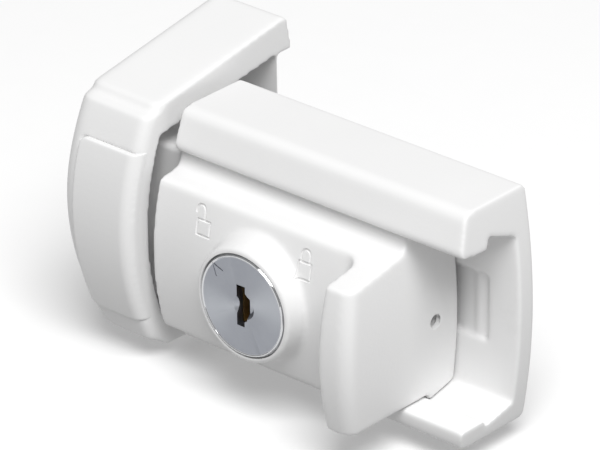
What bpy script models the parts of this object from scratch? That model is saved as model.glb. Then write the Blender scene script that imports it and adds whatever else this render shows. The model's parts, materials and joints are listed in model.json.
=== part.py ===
"""A keyed sliding-bolt lock for the face of a door, gate or sash, with its keeper.

A die-cast base with a C-shaped channel is screwed to one leaf. A slider runs in the
channel and carries the finger grip, the lock cylinder and, at its left end, the bolt
tongue, which reaches into a deep keeper on the other leaf. Turning the plug a quarter
turn lifts a locking bar out of the slider into a notch in the base's top lip.

The bolt is thrown and the plug is at its unlocked stop. Units are millimetres up to
the last step, where MM turns them into metres. X runs along the slide with the keeper
at -X, Y runs from the front to the mounting face, and Z is up. The origin is the
middle of the base's mounting face.
"""

import math

import bmesh
import bpy
from mathutils import Matrix, Vector

MM = 0.001

# Fits
CLEARANCE = 0.3          # between pieces that touch or slide on each other
CUT = 1.0                # how far a cutter runs past the face that it opens

# Base
BASE_LENGTH = 63.4       # at the corners, without the bulge of its right end
BASE_HEIGHT = 44.0
BASE_DEPTH = 17.0
END_BULGE = 2.2          # how far the right end bows out at mid-height
BACK_WALL = 3.8
TOP_LIP = 7.7
BOTTOM_LIP = 3.9
LIP_DEPTH = 6.0
TOP_GROOVE = 2.0         # how far the groove behind the top lip rises above its underside
BOTTOM_GROOVE = 1.4
FRONT_LEAN = 1.8         # how far the top edge lies behind the lip's lower front edge
EDGE_ROUND = 2.2

# Slider
TRAVEL = 12.0
SLIDER_PROUD = 6.5       # the slider's front ahead of the base's lips
FRONT_CROWN = 2.2        # how far the front face bows out between its edges
SLIDER_BULGE = 1.5
SLIDER_WALL = 2.4
SHOULDER_DROP = 3.3      # from the shoulder under the lip down to the sloped top
TOP_SLOPE = 0.165
GRIP_PROUD = 15.6
GRIP_WIDTH = 5.2
GRIP_CROWN = 2.2
TONGUE_FRONT = 1.8       # the bolt tongue's front, behind the base's front

# Lock cylinder
PLUG_DIAMETER = 19.0
PLUG_OFFSET = 1.65       # the plug lies this far left of the slider's middle
CAP_THICKNESS = 1.6
COLLAR_PROUD = 3.8
CORE_DIAMETER = 12.0
CYLINDER_WALL = 1.7
KEYWAY = (2.3, 7.7)
WAFER_COUNT = 4
WAFER_THICKNESS = 0.8
WAFER_PITCH = 2.6
CAM_THICKNESS = 1.2
PIN_THROW = 3.6          # from the plug's axis to the cam pin
PIN_RADIUS = 1.3
BAR_THICKNESS = 1.2
BAR_MARGIN = 1.8         # metal left around the slot in the locking bar
BAR_REST_DROP = 1.4      # the bar's top below the slider's shoulder when unlocked
PLATE_THICKNESS = 1.2
GRUB_RADIUS = 1.45

# Keeper
KEEPER_GAP = 2.3
TONGUE_SHY = 0.5         # how far the withdrawn tongue's end clears the keeper's mouth
TONGUE_SPARE = 3.1       # from the thrown tongue's end to the keeper's end wall
KEEPER_WALL = 4.4
KEEPER_SIDE = 3.1
KEEPER_FRONT = 26.6      # the keeper's front ahead of the base's mounting face
FRAME_STEP = 15.2        # the keeper's mounting face behind the base's
KEEPER_RISE = 0.15       # slope of its top, upwards to the back
KEEPER_ROUND = 4.2
KEEPER_TAPER = 0.02      # how fast its front draws back towards the left end
FRONT_BOW = 5.1          # crown of its front between top and foot
FOOT_DRAW = 4.4          # how far its left end has drawn in at the foot
COVER_PROUD = 0.55
COVER_INSET = 1.0
COVER_WIDTH = 13.2

# Small parts
SCREW_HOLE = 2.1
SCREW_HEAD = 4.0
PLATE_SCREW = 1.0
STOP_PIN = 1.5
PLUNGER = 1.8

# Places that follow from the sizes above
HALF_LENGTH = BASE_LENGTH / 2
HALF_HEIGHT = BASE_HEIGHT / 2
FLOOR = -BACK_WALL                                   # the channel's floor
LIP_UNDER = HALF_HEIGHT - TOP_LIP
LEDGE = -HALF_HEIGHT + BOTTOM_LIP
LIP_BACK = -BASE_DEPTH + LIP_DEPTH
SLIDER_LEFT = -HALF_LENGTH + CLEARANCE
SLIDER_RIGHT = HALF_LENGTH - TRAVEL - CLEARANCE
SLIDER_BACK = FLOOR - CLEARANCE
SLIDER_BOTTOM = LEDGE + CLEARANCE
SHOULDER = LIP_UNDER - CLEARANCE
SLIDER_FRONT = -BASE_DEPTH - SLIDER_PROUD
SLIDER_TOP = SHOULDER - SHOULDER_DROP                # of the front block, at its front edge
PLUG_X = (SLIDER_LEFT + SLIDER_RIGHT) / 2 - PLUG_OFFSET
PLUG_Z = (SLIDER_BOTTOM + SLIDER_TOP) / 2
PLUG_FACE = SLIDER_FRONT - COLLAR_PROUD
CAP_BACK = PLUG_FACE + CAP_THICKNESS
CYLINDER_FRONT = CAP_BACK + CLEARANCE
CAP_RADIUS = PLUG_DIAMETER / 2
CORE_RADIUS = CORE_DIAMETER / 2
CYLINDER_RADIUS = CORE_RADIUS + CLEARANCE + CYLINDER_WALL
COLLAR_RADIUS = CAP_RADIUS + 0.9
BOSS_RADIUS = CYLINDER_RADIUS + CLEARANCE + 1.9
PLATE_FRONT = SLIDER_BACK - PLATE_THICKNESS
BAR_BACK = PLATE_FRONT - CLEARANCE
BAR_FRONT = BAR_BACK - BAR_THICKNESS
CAM_BACK = BAR_FRONT - CLEARANCE
CAM_FRONT = CAM_BACK - CAM_THICKNESS
CORE_BACK = CAM_FRONT - CLEARANCE
PIN_X = -PIN_THROW * math.sqrt(0.5)                  # from the plug's axis, at the unlocked stop
PIN_Z = -PIN_THROW * math.sqrt(0.5)
BAR_LIFT = -2 * PIN_Z
BAR_TOP = SHOULDER - BAR_REST_DROP
SLOT_PLAY = CLEARANCE + 0.05
BAR_SIDES = (
    PLUG_X - PIN_THROW - PIN_RADIUS - SLOT_PLAY - BAR_MARGIN,
    PLUG_X + PIN_X + PIN_RADIUS + SLOT_PLAY + BAR_MARGIN,
)
BAR_BOTTOM = PLUG_Z + PIN_Z - PIN_RADIUS - SLOT_PLAY - BAR_MARGIN
CAVITY_FRONT = SLIDER_FRONT + FRONT_CROWN + SLIDER_WALL + 0.3
CAVITY_SIDES = (SLIDER_LEFT + SLIDER_WALL, SLIDER_RIGHT - SLIDER_WALL)
CAVITY_LEVELS = (SLIDER_BOTTOM + SLIDER_WALL, SLIDER_TOP - SLIDER_WALL)
REBATE = 0.9                                         # ledge that the back plate rests on
SCREW_BOSS = PLATE_SCREW + CLEARANCE + 1.4
PLATE_SCREWS = [
    (CAVITY_SIDES[0] + SCREW_BOSS, CAVITY_LEVELS[0] + SCREW_BOSS),
    (CAVITY_SIDES[1] - SCREW_BOSS, CAVITY_LEVELS[0] + SCREW_BOSS),
    (CAVITY_SIDES[0] + SCREW_BOSS, CAVITY_LEVELS[1] - SCREW_BOSS),
    (CAVITY_SIDES[1] - SCREW_BOSS, CAVITY_LEVELS[1] - SCREW_BOSS),
]
GRUB_Y = CORE_BACK - 1.6
STOP_X = PLUG_X
STOP_Z = CAVITY_LEVELS[0] + STOP_PIN + 1.8
PLUNGER_X = CAVITY_SIDES[1] - 2 * SCREW_BOSS - PLUNGER - 0.4
PLUNGER_Z = PLUG_Z + GRUB_RADIUS + PLUNGER + 2.8
POCKET = (PLUNGER_X + TRAVEL - PLUNGER - 3.6, PLUNGER_X + TRAVEL + 5.2)
POCKET_LEVELS = (PLUNGER_Z - 10.5, PLUNGER_Z + 2.1)
POCKET_DEPTH = 1.2

KEEPER_RIGHT = -HALF_LENGTH - KEEPER_GAP
KEEPER_WIDTH = TRAVEL - TONGUE_SHY + TONGUE_SPARE + KEEPER_SIDE
KEEPER_LEFT = KEEPER_RIGHT - KEEPER_WIDTH
KEEPER_TOP = HALF_HEIGHT + 0.6                       # at its front
KEEPER_BOTTOM = -HALF_HEIGHT - 1.6
KEEPER_INNER = KEEPER_LEFT + KEEPER_SIDE
KEEPER_BACK_WALL = 3.6
TONGUE_END = KEEPER_RIGHT - TRAVEL + TONGUE_SHY
TONGUE_LEVELS = (SLIDER_BOTTOM + 0.2, SHOULDER - 0.3)
TONGUE_SIDES = (-BASE_DEPTH + TONGUE_FRONT, SLIDER_BACK)
COVER_LEVELS = (KEEPER_BOTTOM + 7.0, KEEPER_TOP - 7.8)
DRAW_START = KEEPER_TOP - 12.6                       # the left end is straight above this level
KEEPER_HOLES = [(KEEPER_RIGHT - COVER_WIDTH / 2, level)
                for level in (COVER_LEVELS[0] + 10.5, COVER_LEVELS[1] - 10.5)]

WAFER_WIDTH = CORE_RADIUS - 0.1
WAFER_HEIGHT = 2 * math.sqrt(CORE_RADIUS ** 2 - (WAFER_WIDTH / 2) ** 2) - 2 * CLEARANCE
WAFER_START = CYLINDER_FRONT + 3.0
CHAMBER = (WAFER_WIDTH / 2 + CLEARANCE, CORE_RADIUS - 0.8)   # holds the springs beside the wafers
LUG_TOP = 2.4                                        # the wafers' lugs, above the plug's axis


# ---------------------------------------------------------------- outlines

def rounded(corners, steps=4):
    """An outline from (u, v, radius) corners. A corner with a radius becomes an arc."""
    outline = []
    for index, (u, v, radius) in enumerate(corners):
        here = Vector((u, v))
        if radius == 0:
            outline.append(here)
            continue
        before = (Vector(corners[index - 1][:2]) - here).normalized()
        after = (Vector(corners[(index + 1) % len(corners)][:2]) - here).normalized()
        half = before.angle(after) / 2
        centre = here + (before + after).normalized() * (radius / math.sin(half))
        spoke = here + before * (radius / math.tan(half)) - centre
        end = here + after * (radius / math.tan(half)) - centre
        sweep = math.copysign(math.pi - 2 * half, spoke.x * end.y - spoke.y * end.x)
        for step in range(steps + 1):
            outline.append(centre + Matrix.Rotation(sweep * step / steps, 2) @ spoke)
    return outline


def bow(start, end, rise, steps=8):
    """The points between two ends of an arc that stands off its chord to the left by rise."""
    start, end = Vector(start), Vector(end)
    chord = end - start
    side = Vector((-chord.y, chord.x)).normalized()
    points = []
    for step in range(1, steps):
        share = step / steps
        points.append(start + chord * share + side * rise * 4 * share * (1 - share))
    return points


def circle(u, v, radius, steps=32):
    """A full circle, as an outline."""
    angles = [2 * math.pi * step / steps for step in range(steps)]
    return [Vector((u + radius * math.cos(a), v + radius * math.sin(a))) for a in angles]


def around(middle, reach):
    """The two ends of a span, for box."""
    return (middle - reach, middle + reach)


def rectangle(us, vs):
    return [Vector((u, v)) for u, v in ((us[0], vs[0]), (us[1], vs[0]), (us[1], vs[1]), (us[0], vs[1]))]


# ---------------------------------------------------------------- solids

PLANES = {
    "X": lambda u, v, along: (along, u, v),
    "Y": lambda u, v, along: (u, along, v),
    "Z": lambda u, v, along: (u, v, along),
}


def prism(outline, axis, low, high, name="shape"):
    """An outline pushed along an axis. It lies in the other two axes, in alphabetical order."""
    place = PLANES[axis]
    mesh = bmesh.new()
    face = mesh.faces.new([mesh.verts.new(place(p[0], p[1], low)) for p in outline])
    grown = bmesh.ops.extrude_face_region(mesh, geom=[face])["geom"]
    shift = Vector(place(0, 0, high - low))
    bmesh.ops.translate(mesh, vec=shift, verts=[v for v in grown if isinstance(v, bmesh.types.BMVert)])
    return finish(mesh, name)


def loft(sections, name="shape"):
    """A skin over (x, outline) sections with the same number of points, closed at both ends."""
    mesh = bmesh.new()
    rings = [[mesh.verts.new((x, p[0], p[1])) for p in outline] for x, outline in sections]
    count = len(rings[0])
    for here, beyond in zip(rings, rings[1:]):
        for index in range(count):
            after = (index + 1) % count
            mesh.faces.new((here[index], here[after], beyond[after], beyond[index]))
    mesh.faces.new(rings[0])
    mesh.faces.new(rings[-1])
    return finish(mesh, name)


def turned(profile, centre, steps=40, name="shape"):
    """A closed profile of (radius, y) points turned about a Y axis through centre (x, z)."""
    mesh = bmesh.new()
    rings = []
    for step in range(steps):
        angle = 2 * math.pi * step / steps
        spoke = (math.cos(angle), math.sin(angle))
        ring = []
        for radius, y in profile:
            ring.append(mesh.verts.new((centre[0] + radius * spoke[0], y, centre[1] + radius * spoke[1])))
        rings.append(ring)
    count = len(profile)
    for step in range(steps):
        here, beside = rings[step], rings[(step + 1) % steps]
        for row in range(count):
            below = (row + 1) % count
            mesh.faces.new((here[row], here[below], beside[below], beside[row]))
    bmesh.ops.remove_doubles(mesh, verts=mesh.verts, dist=1e-5)
    return finish(mesh, name)


def spring(start, end, radius, wire, turns, name, per_turn=10, sides=5):
    """A coil of wire from start to end, with its ends closed."""
    start, end = Vector(start), Vector(end)
    along = (end - start).normalized()
    across = along.orthogonal().normalized()
    beside = along.cross(across)
    mesh = bmesh.new()
    rings = []
    total = int(turns * per_turn)
    for step in range(total + 1):
        angle = 2 * math.pi * step / per_turn
        out = across * math.cos(angle) + beside * math.sin(angle)
        centre = start.lerp(end, step / total) + out * radius
        ring = []
        for side in range(sides):
            turn = 2 * math.pi * side / sides
            ring.append(mesh.verts.new(centre + (out * math.cos(turn) + along * math.sin(turn)) * wire))
        rings.append(ring)
    for here, beyond in zip(rings, rings[1:]):
        for side in range(sides):
            other = (side + 1) % sides
            mesh.faces.new((here[side], here[other], beyond[other], beyond[side]))
    mesh.faces.new(rings[0])
    mesh.faces.new(rings[-1])
    return finish(mesh, name)


def finish(mesh, name):
    """Turns a bmesh into an object with its faces pointing out."""
    bmesh.ops.recalc_face_normals(mesh, faces=mesh.faces)
    data = bpy.data.meshes.new(name)
    mesh.to_mesh(data)
    mesh.free()
    shape = bpy.data.objects.new(name, data)
    bpy.context.scene.collection.objects.link(shape)
    return shape


def box(xs, ys, zs, name="shape"):
    return prism(rectangle(xs, zs), "Y", ys[0], ys[1], name)


def rod(x, z, radius, ys, steps=32, name="shape"):
    """A round bar along Y."""
    return prism(circle(x, z, radius, steps), "Y", ys[0], ys[1], name)


def combine(shape, other, operation):
    """Applies one exact Boolean to shape and removes the other object."""
    modifier = shape.modifiers.new(operation.lower(), "BOOLEAN")
    modifier.operation = operation
    modifier.solver = "EXACT"
    modifier.object = other
    graph = bpy.context.evaluated_depsgraph_get()
    data = bpy.data.meshes.new_from_object(shape.evaluated_get(graph))
    shape.modifiers.clear()
    shape.data = data
    bpy.data.objects.remove(other)
    return shape


def join(shape, *others):
    for other in others:
        combine(shape, other, "UNION")
    return shape


def cut(shape, *others):
    for other in others:
        combine(shape, other, "DIFFERENCE")
    return shape


def keep(shape, *others):
    for other in others:
        combine(shape, other, "INTERSECT")
    return shape


# ---------------------------------------------------------------- finishing a node

def material(name, colour, roughness, metallic):
    """A Principled material with one colour."""
    made = bpy.data.materials.new(name)
    made.use_nodes = True
    shader = made.node_tree.nodes["Principled BSDF"]
    shader.inputs["Base Color"].default_value = (*colour, 1)
    shader.inputs["Roughness"].default_value = roughness
    shader.inputs["Metallic"].default_value = metallic
    return made


def carrier(name, x, y, z):
    """An empty on a joint's axis, which the pieces of that body hang from."""
    empty = bpy.data.objects.new(name, None)
    empty.location = (x * MM, y * MM, z * MM)
    bpy.context.scene.collection.objects.link(empty)
    return empty


def node(shape, name, finish_of, parent):
    """Names a finished shape, turns it into metres and hangs it from its body's empty."""
    shape.name = name
    shape.data.name = name
    shape.data.transform(Matrix.Scale(MM, 4))
    shape.data.transform(Matrix.Translation(-parent.location))
    shape.data.materials.clear()
    shape.data.materials.append(finish_of.copy())
    shape.data.shade_smooth()
    shape.data.set_sharp_from_angle(angle=math.radians(30))
    shape.parent = parent


# ---------------------------------------------------------------- base

def base_section():
    """The C-shaped channel, seen from its end: (y, z)."""
    front = -BASE_DEPTH
    return rounded([
        (front - 0.6, LIP_UNDER + 1.2, 0.8),
        (front + FRONT_LEAN, HALF_HEIGHT, EDGE_ROUND),
        (0, HALF_HEIGHT, 0.6),
        (0, -HALF_HEIGHT, 0.6),
        (front + 0.4, -HALF_HEIGHT, 1.4),
        (front, LEDGE, 0.6),
        (LIP_BACK, LEDGE, 0.3),
        (LIP_BACK + 0.5, LEDGE - BOTTOM_GROOVE, 0.3),
        (FLOOR, LEDGE + 0.4, 0.6),
        (FLOOR, LIP_UNDER - 0.4, 0.6),
        (LIP_BACK + 0.7, LIP_UNDER + TOP_GROOVE, 0.3),
        (LIP_BACK, LIP_UNDER - 0.1, 0.3),
        (front, LIP_UNDER + 0.2, 0.4),
    ], steps=3)


def bulged_end(left, right, levels, bulge):
    """An (x, z) outline whose right end bows out between its corners."""
    low, high = levels
    ends = [Vector((right, high)), Vector((left, high)), Vector((left, low)), Vector((right, low))]
    return ends + bow((right, low), (right, high), -bulge)


def screw_hole(x, z, mouth, y_far, radius=SCREW_HOLE, head=SCREW_HEAD):
    """A cutter for a countersunk hole that opens at mouth and leaves at y_far."""
    depth = (head - radius) * math.copysign(1, y_far - mouth)
    past = math.copysign(CUT, y_far - mouth)
    profile = [
        (0, mouth - past), (head, mouth - past), (head, mouth),
        (radius, mouth + depth), (radius, y_far + past), (0, y_far + past),
    ]
    return turned(profile, (x, z), steps=24)


def base_housing():
    right = HALF_LENGTH + END_BULGE + CUT
    shape = prism(base_section(), "X", -HALF_LENGTH, right)
    levels = (-HALF_HEIGHT, HALF_HEIGHT)
    plan = bulged_end(-HALF_LENGTH - CUT, HALF_LENGTH, levels, END_BULGE)
    keep(shape, prism(plan, "Y", -2 * BASE_DEPTH, CUT))
    floor_of_pocket = FLOOR + POCKET_DEPTH
    ramp = [(POCKET[0], FLOOR - CUT), (POCKET[0], floor_of_pocket), (POCKET[1] - 3, floor_of_pocket),
            (POCKET[1], FLOOR), (POCKET[1], FLOOR - CUT)]
    cut(shape, prism(ramp, "Z", *POCKET_LEVELS))
    for shift in (0, TRAVEL):
        sides = (BAR_SIDES[0] + shift - SLOT_PLAY, BAR_SIDES[1] + shift + SLOT_PLAY)
        notch = (BAR_FRONT - SLOT_PLAY, BAR_BACK + SLOT_PLAY)
        cut(shape, box(sides, notch, (LIP_UNDER - 0.5, BAR_TOP + BAR_LIFT + SLOT_PLAY)))
    for x in (SLIDER_LEFT + TRAVEL / 2, SLIDER_RIGHT - TRAVEL / 2 - 2):
        for z in (LEDGE + 5.5, LIP_UNDER - 5.5):
            cut(shape, screw_hole(x, z, FLOOR, 0))
    cut(shape, rod(STOP_X, STOP_Z, STOP_PIN + CLEARANCE, (FLOOR - CUT, CUT), 24))
    return shape


def travel_stop_pin():
    """A headless pin in the back wall that stands into the slot of the slider's back plate."""
    return rod(STOP_X, STOP_Z, STOP_PIN, (PLATE_FRONT - 0.8, -0.4), 24)


# ---------------------------------------------------------------- keeper

def quarter(distance, radius):
    """How far a quarter round of this radius has drawn in at a distance from the end."""
    short = max(radius - distance, 0)
    return radius - math.sqrt(radius ** 2 - short ** 2)


def keeper_front(back=0.0, lift=0.0, drop=0.0):
    """The keeper's crowned front as (y, z) from top to foot.

    It can be moved back, lifted at the foot and lowered at the top.
    """
    top = (-KEEPER_FRONT + 5.2 + back, KEEPER_TOP - 1.6 - drop)
    bottom = (-KEEPER_FRONT + 4.4 + back, KEEPER_BOTTOM + 2.2 + lift)
    return [Vector(top), *bow(top, bottom, -FRONT_BOW, 12), Vector(bottom)]


def keeper_section(distance):
    """The keeper's outline at this distance from its left end: (y, z)."""
    front = quarter(distance, KEEPER_ROUND) + KEEPER_TAPER * (KEEPER_WIDTH - distance)
    drop = quarter(distance, 3.0)
    lift = quarter(distance, 6.0)
    rear = FRAME_STEP - quarter(distance, 1.5)
    rear_top = KEEPER_TOP + KEEPER_RISE * (KEEPER_FRONT - 5 + FRAME_STEP) - drop
    ends = rounded([
        (-KEEPER_FRONT + 8, KEEPER_BOTTOM + lift, 0.4),
        (rear, KEEPER_BOTTOM - 2.4 + lift, 0.6),
        (rear, rear_top - 4.6, 0.6),
        (rear - 1, rear_top, 0.8),
        (-KEEPER_FRONT + 7 + front, KEEPER_TOP - drop, 0.8),
    ], steps=3)
    return keeper_front(front, lift, drop) + ends


def draw_in(shape, strips=10):
    """Bends the keeper's left end inwards towards its foot, after cutting its faces into level strips."""
    mesh = bmesh.new()
    mesh.from_mesh(shape.data)
    for strip in range(strips):
        level = DRAW_START - (DRAW_START - KEEPER_BOTTOM) * strip / strips
        everything = mesh.verts[:] + mesh.edges[:] + mesh.faces[:]
        bmesh.ops.bisect_plane(mesh, geom=everything, plane_co=(0, 0, level), plane_no=(0, 0, 1))
    for vertex in mesh.verts:
        share = min((KEEPER_RIGHT - vertex.co.x) / KEEPER_WIDTH, 1)
        depth = max(DRAW_START - vertex.co.z, 0) / (DRAW_START - KEEPER_BOTTOM)
        vertex.co.x += FOOT_DRAW * share * depth ** 2
    mesh.to_mesh(shape.data)
    mesh.free()
    return shape


def keeper_hollow():
    """The hollow behind the keeper's front wall: (y, z)."""
    inner_rear = FRAME_STEP - KEEPER_BACK_WALL
    ceiling = KEEPER_TOP - 5.6
    levels = (KEEPER_BOTTOM + KEEPER_WALL, ceiling)
    front = [p for p in keeper_front(KEEPER_WALL + 0.6) if levels[0] < p.y < levels[1]]
    corners = [Vector((front[-1].x + 0.4, levels[0])), Vector((inner_rear, levels[0] - 1.5))]
    corners += [Vector((inner_rear, ceiling + KEEPER_RISE * (KEEPER_FRONT - 8 + inner_rear)))]
    corners += [Vector((front[0].x + 1.0, ceiling))]
    return front + corners


def cover_window(gap):
    """The (x, z) outline of the cover, grown by gap on its three inner sides."""
    left = KEEPER_RIGHT - COVER_WIDTH - gap
    right = KEEPER_RIGHT + (CUT if gap else 0)
    low, high = COVER_LEVELS[0] - gap, COVER_LEVELS[1] + gap
    return rounded([(left, low, 1.2), (right, low, 0), (right, high, 0), (left, high, 1.2)], steps=3)


def cover_pegs(radius, reach):
    """Round pegs that hold the cover, at its two ends."""
    x = KEEPER_RIGHT - COVER_WIDTH / 2
    front = -KEEPER_FRONT
    levels = (COVER_LEVELS[0] + 3.5, COVER_LEVELS[1] - 3.5)
    return [rod(x, z, radius, (front, front + reach), 20) for z in levels]


def keeper_housing():
    stations = [KEEPER_WIDTH, 9.0, 6.0, KEEPER_ROUND, 2.6, 1.4, 0.5, 0]
    shape = draw_in(loft([(KEEPER_LEFT + d, keeper_section(d)) for d in stations]))
    inner_rear = FRAME_STEP - KEEPER_BACK_WALL
    cut(shape, draw_in(prism(keeper_hollow(), "X", KEEPER_INNER, KEEPER_RIGHT + CUT)))
    corner = [
        Vector((KEEPER_RIGHT, inner_rear)),
        Vector((KEEPER_RIGHT - KEEPER_BACK_WALL, FRAME_STEP)),
        Vector((KEEPER_RIGHT - KEEPER_BACK_WALL, FRAME_STEP + CUT)),
        Vector((KEEPER_RIGHT + CUT, FRAME_STEP + CUT)),
        Vector((KEEPER_RIGHT + CUT, inner_rear)),
    ]
    cut(shape, prism(corner, "Z", 2 * KEEPER_BOTTOM, keeper_hollow()[-2].y))
    rib = (TONGUE_SIDES[0] - 2 * CLEARANCE, -KEEPER_FRONT + 3)
    join(shape, box((KEEPER_INNER - 1, KEEPER_RIGHT - 4), (rib[1], rib[0]), (PLUG_Z - 3.5, PLUG_Z + 3.5)))
    recess = keeper_front(-3 * CUT) + keeper_front(COVER_INSET + CLEARANCE)[::-1]
    cutter = prism(recess, "X", KEEPER_LEFT - CUT, KEEPER_RIGHT + CUT)
    cut(shape, draw_in(keep(cutter, prism(cover_window(CLEARANCE), "Y", -2 * KEEPER_FRONT, 0))))
    cut(shape, *cover_pegs(1.2 + CLEARANCE, KEEPER_WALL + 3))
    for x, z in KEEPER_HOLES:
        cut(shape, rod(x, z, SCREW_HEAD, (-KEEPER_FRONT - CUT, -KEEPER_FRONT + KEEPER_WALL + 4), 24))
        cut(shape, screw_hole(x, z, inner_rear, FRAME_STEP))
    return shape


def keeper_cover():
    outline = keeper_front(-COVER_PROUD) + keeper_front(COVER_INSET)[::-1]
    shape = prism(outline, "X", KEEPER_LEFT - CUT, KEEPER_RIGHT)
    draw_in(keep(shape, prism(cover_window(0), "Y", -2 * KEEPER_FRONT, 0)))
    behind = keeper_front(COVER_INSET - 0.5) + [Vector((0, KEEPER_BOTTOM)), Vector((0, KEEPER_TOP))]
    pegs = cover_pegs(1.2, KEEPER_WALL + 1)
    for peg in pegs:
        keep(peg, prism(behind, "X", KEEPER_LEFT, KEEPER_RIGHT))
    return join(shape, *pegs)


# ---------------------------------------------------------------- slider

def slider_section():
    """The slider's outline at its right end, with the flanges behind the lips: (y, z)."""
    edge = SLIDER_FRONT + FRONT_CROWN
    low, high = (edge, SLIDER_BOTTOM), (edge, SLIDER_TOP)
    root = -BASE_DEPTH + 0.5
    top = rounded([
        (edge, SLIDER_TOP, 0),
        (root, SLIDER_TOP + TOP_SLOPE * (root - edge), 1.2),
        (root + 0.8, SHOULDER, 0.4),
        (LIP_BACK, SHOULDER - 0.1, 0.2),
        (LIP_BACK + 0.7 + CLEARANCE, LIP_UNDER + TOP_GROOVE - CLEARANCE - 0.1, 0.3),
        (SLIDER_BACK, LIP_UNDER - 0.4 - CLEARANCE, 0.5),
        (SLIDER_BACK, LEDGE + 0.4 + CLEARANCE, 0.5),
        (LIP_BACK + 0.5 + CLEARANCE, LEDGE - BOTTOM_GROOVE + CLEARANCE + 0.1, 0.3),
        (LIP_BACK + CLEARANCE, SLIDER_BOTTOM, 0.2),
        (edge, SLIDER_BOTTOM, 0),
    ], steps=3)
    return top + bow(low, high, FRONT_CROWN, 10)


def slider_end():
    """The slider seen from the front, with its bowed right end: (x, z)."""
    levels = (SLIDER_BOTTOM - 4, LIP_UNDER + TOP_GROOVE)
    return bulged_end(SLIDER_LEFT - CUT, SLIDER_RIGHT, levels, SLIDER_BULGE)


def grip_shape():
    """The upright finger grip at the slider's right end."""
    low, high = SLIDER_BOTTOM, SLIDER_TOP
    front = -BASE_DEPTH - GRIP_PROUD + GRIP_CROWN
    base = SLIDER_FRONT + FRONT_CROWN + 2
    side = [Vector((base, low)), Vector((base, high)), Vector((front, high - TOP_SLOPE * 9))]
    side += bow((front, high - TOP_SLOPE * 9), (front, low), -GRIP_CROWN, 10)
    side += [Vector((front, low))]
    shape = prism(side, "X", SLIDER_RIGHT - 2 * GRIP_WIDTH, SLIDER_RIGHT + 2 * SLIDER_BULGE)
    tip = -BASE_DEPTH - GRIP_PROUD - 0.5
    right = SLIDER_RIGHT + 2 * SLIDER_BULGE
    plan = rounded([
        (right, base + CUT, 0),
        (SLIDER_RIGHT - GRIP_WIDTH - 2.4, base + CUT, 0),
        (SLIDER_RIGHT - GRIP_WIDTH - 2.4, SLIDER_FRONT + 1, 0),
        (SLIDER_RIGHT - GRIP_WIDTH - 0.4, SLIDER_FRONT - 1.4, 0),
        (SLIDER_RIGHT - GRIP_WIDTH, tip, 2.0),
        (right, tip, 0),
    ], steps=4)
    return keep(shape, prism(plan, "Z", low - CUT, high + CUT))


def collar_shape():
    """The raised collar round the plug."""
    profile = [
        (0, SLIDER_FRONT + 3),
        (COLLAR_RADIUS + 2.6, SLIDER_FRONT + 3), (COLLAR_RADIUS + 2.6, SLIDER_FRONT + 0.6),
        (COLLAR_RADIUS + 1.2, SLIDER_FRONT - 0.3), (COLLAR_RADIUS + 0.4, SLIDER_FRONT - 1.6),
        (COLLAR_RADIUS, PLUG_FACE + 0.5), (COLLAR_RADIUS - 0.3, PLUG_FACE + 0.1), (0, PLUG_FACE + 0.1),
    ]
    return turned(profile, (PLUG_X, PLUG_Z), steps=40)


def slider_cavity():
    """The hollow inside the slider, with the bosses left standing in it."""
    cavity = box(CAVITY_SIDES, (CAVITY_FRONT, SLIDER_BACK + CUT), CAVITY_LEVELS)
    cut(cavity, rod(PLUG_X, PLUG_Z, BOSS_RADIUS, (CAVITY_FRONT - CUT, CORE_BACK), 40))
    reach = (GRUB_Y - GRUB_RADIUS - 2, CAM_BACK)
    rib = (PLUG_Z - GRUB_RADIUS - 1.9, PLUG_Z + GRUB_RADIUS + 1.9)
    cut(cavity, box((PLUG_X + CYLINDER_RADIUS, CAVITY_SIDES[1] + CUT), reach, rib))
    cut(cavity, rod(PLUNGER_X, PLUNGER_Z, PLUNGER + CLEARANCE + 1.3, (CAVITY_FRONT - CUT, BAR_BACK), 24))
    for x, z in PLATE_SCREWS:
        cut(cavity, rod(x, z, SCREW_BOSS, (CAVITY_FRONT - CUT, BAR_BACK), 20))
    rebate = [(side + sign * REBATE) for side, sign in zip(CAVITY_SIDES, (-1, 1))]
    levels = [(level + sign * REBATE) for level, sign in zip(CAVITY_LEVELS, (-1, 1))]
    return join(cavity, box(rebate, (BAR_BACK, SLIDER_BACK + 2 * CUT), levels))


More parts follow.
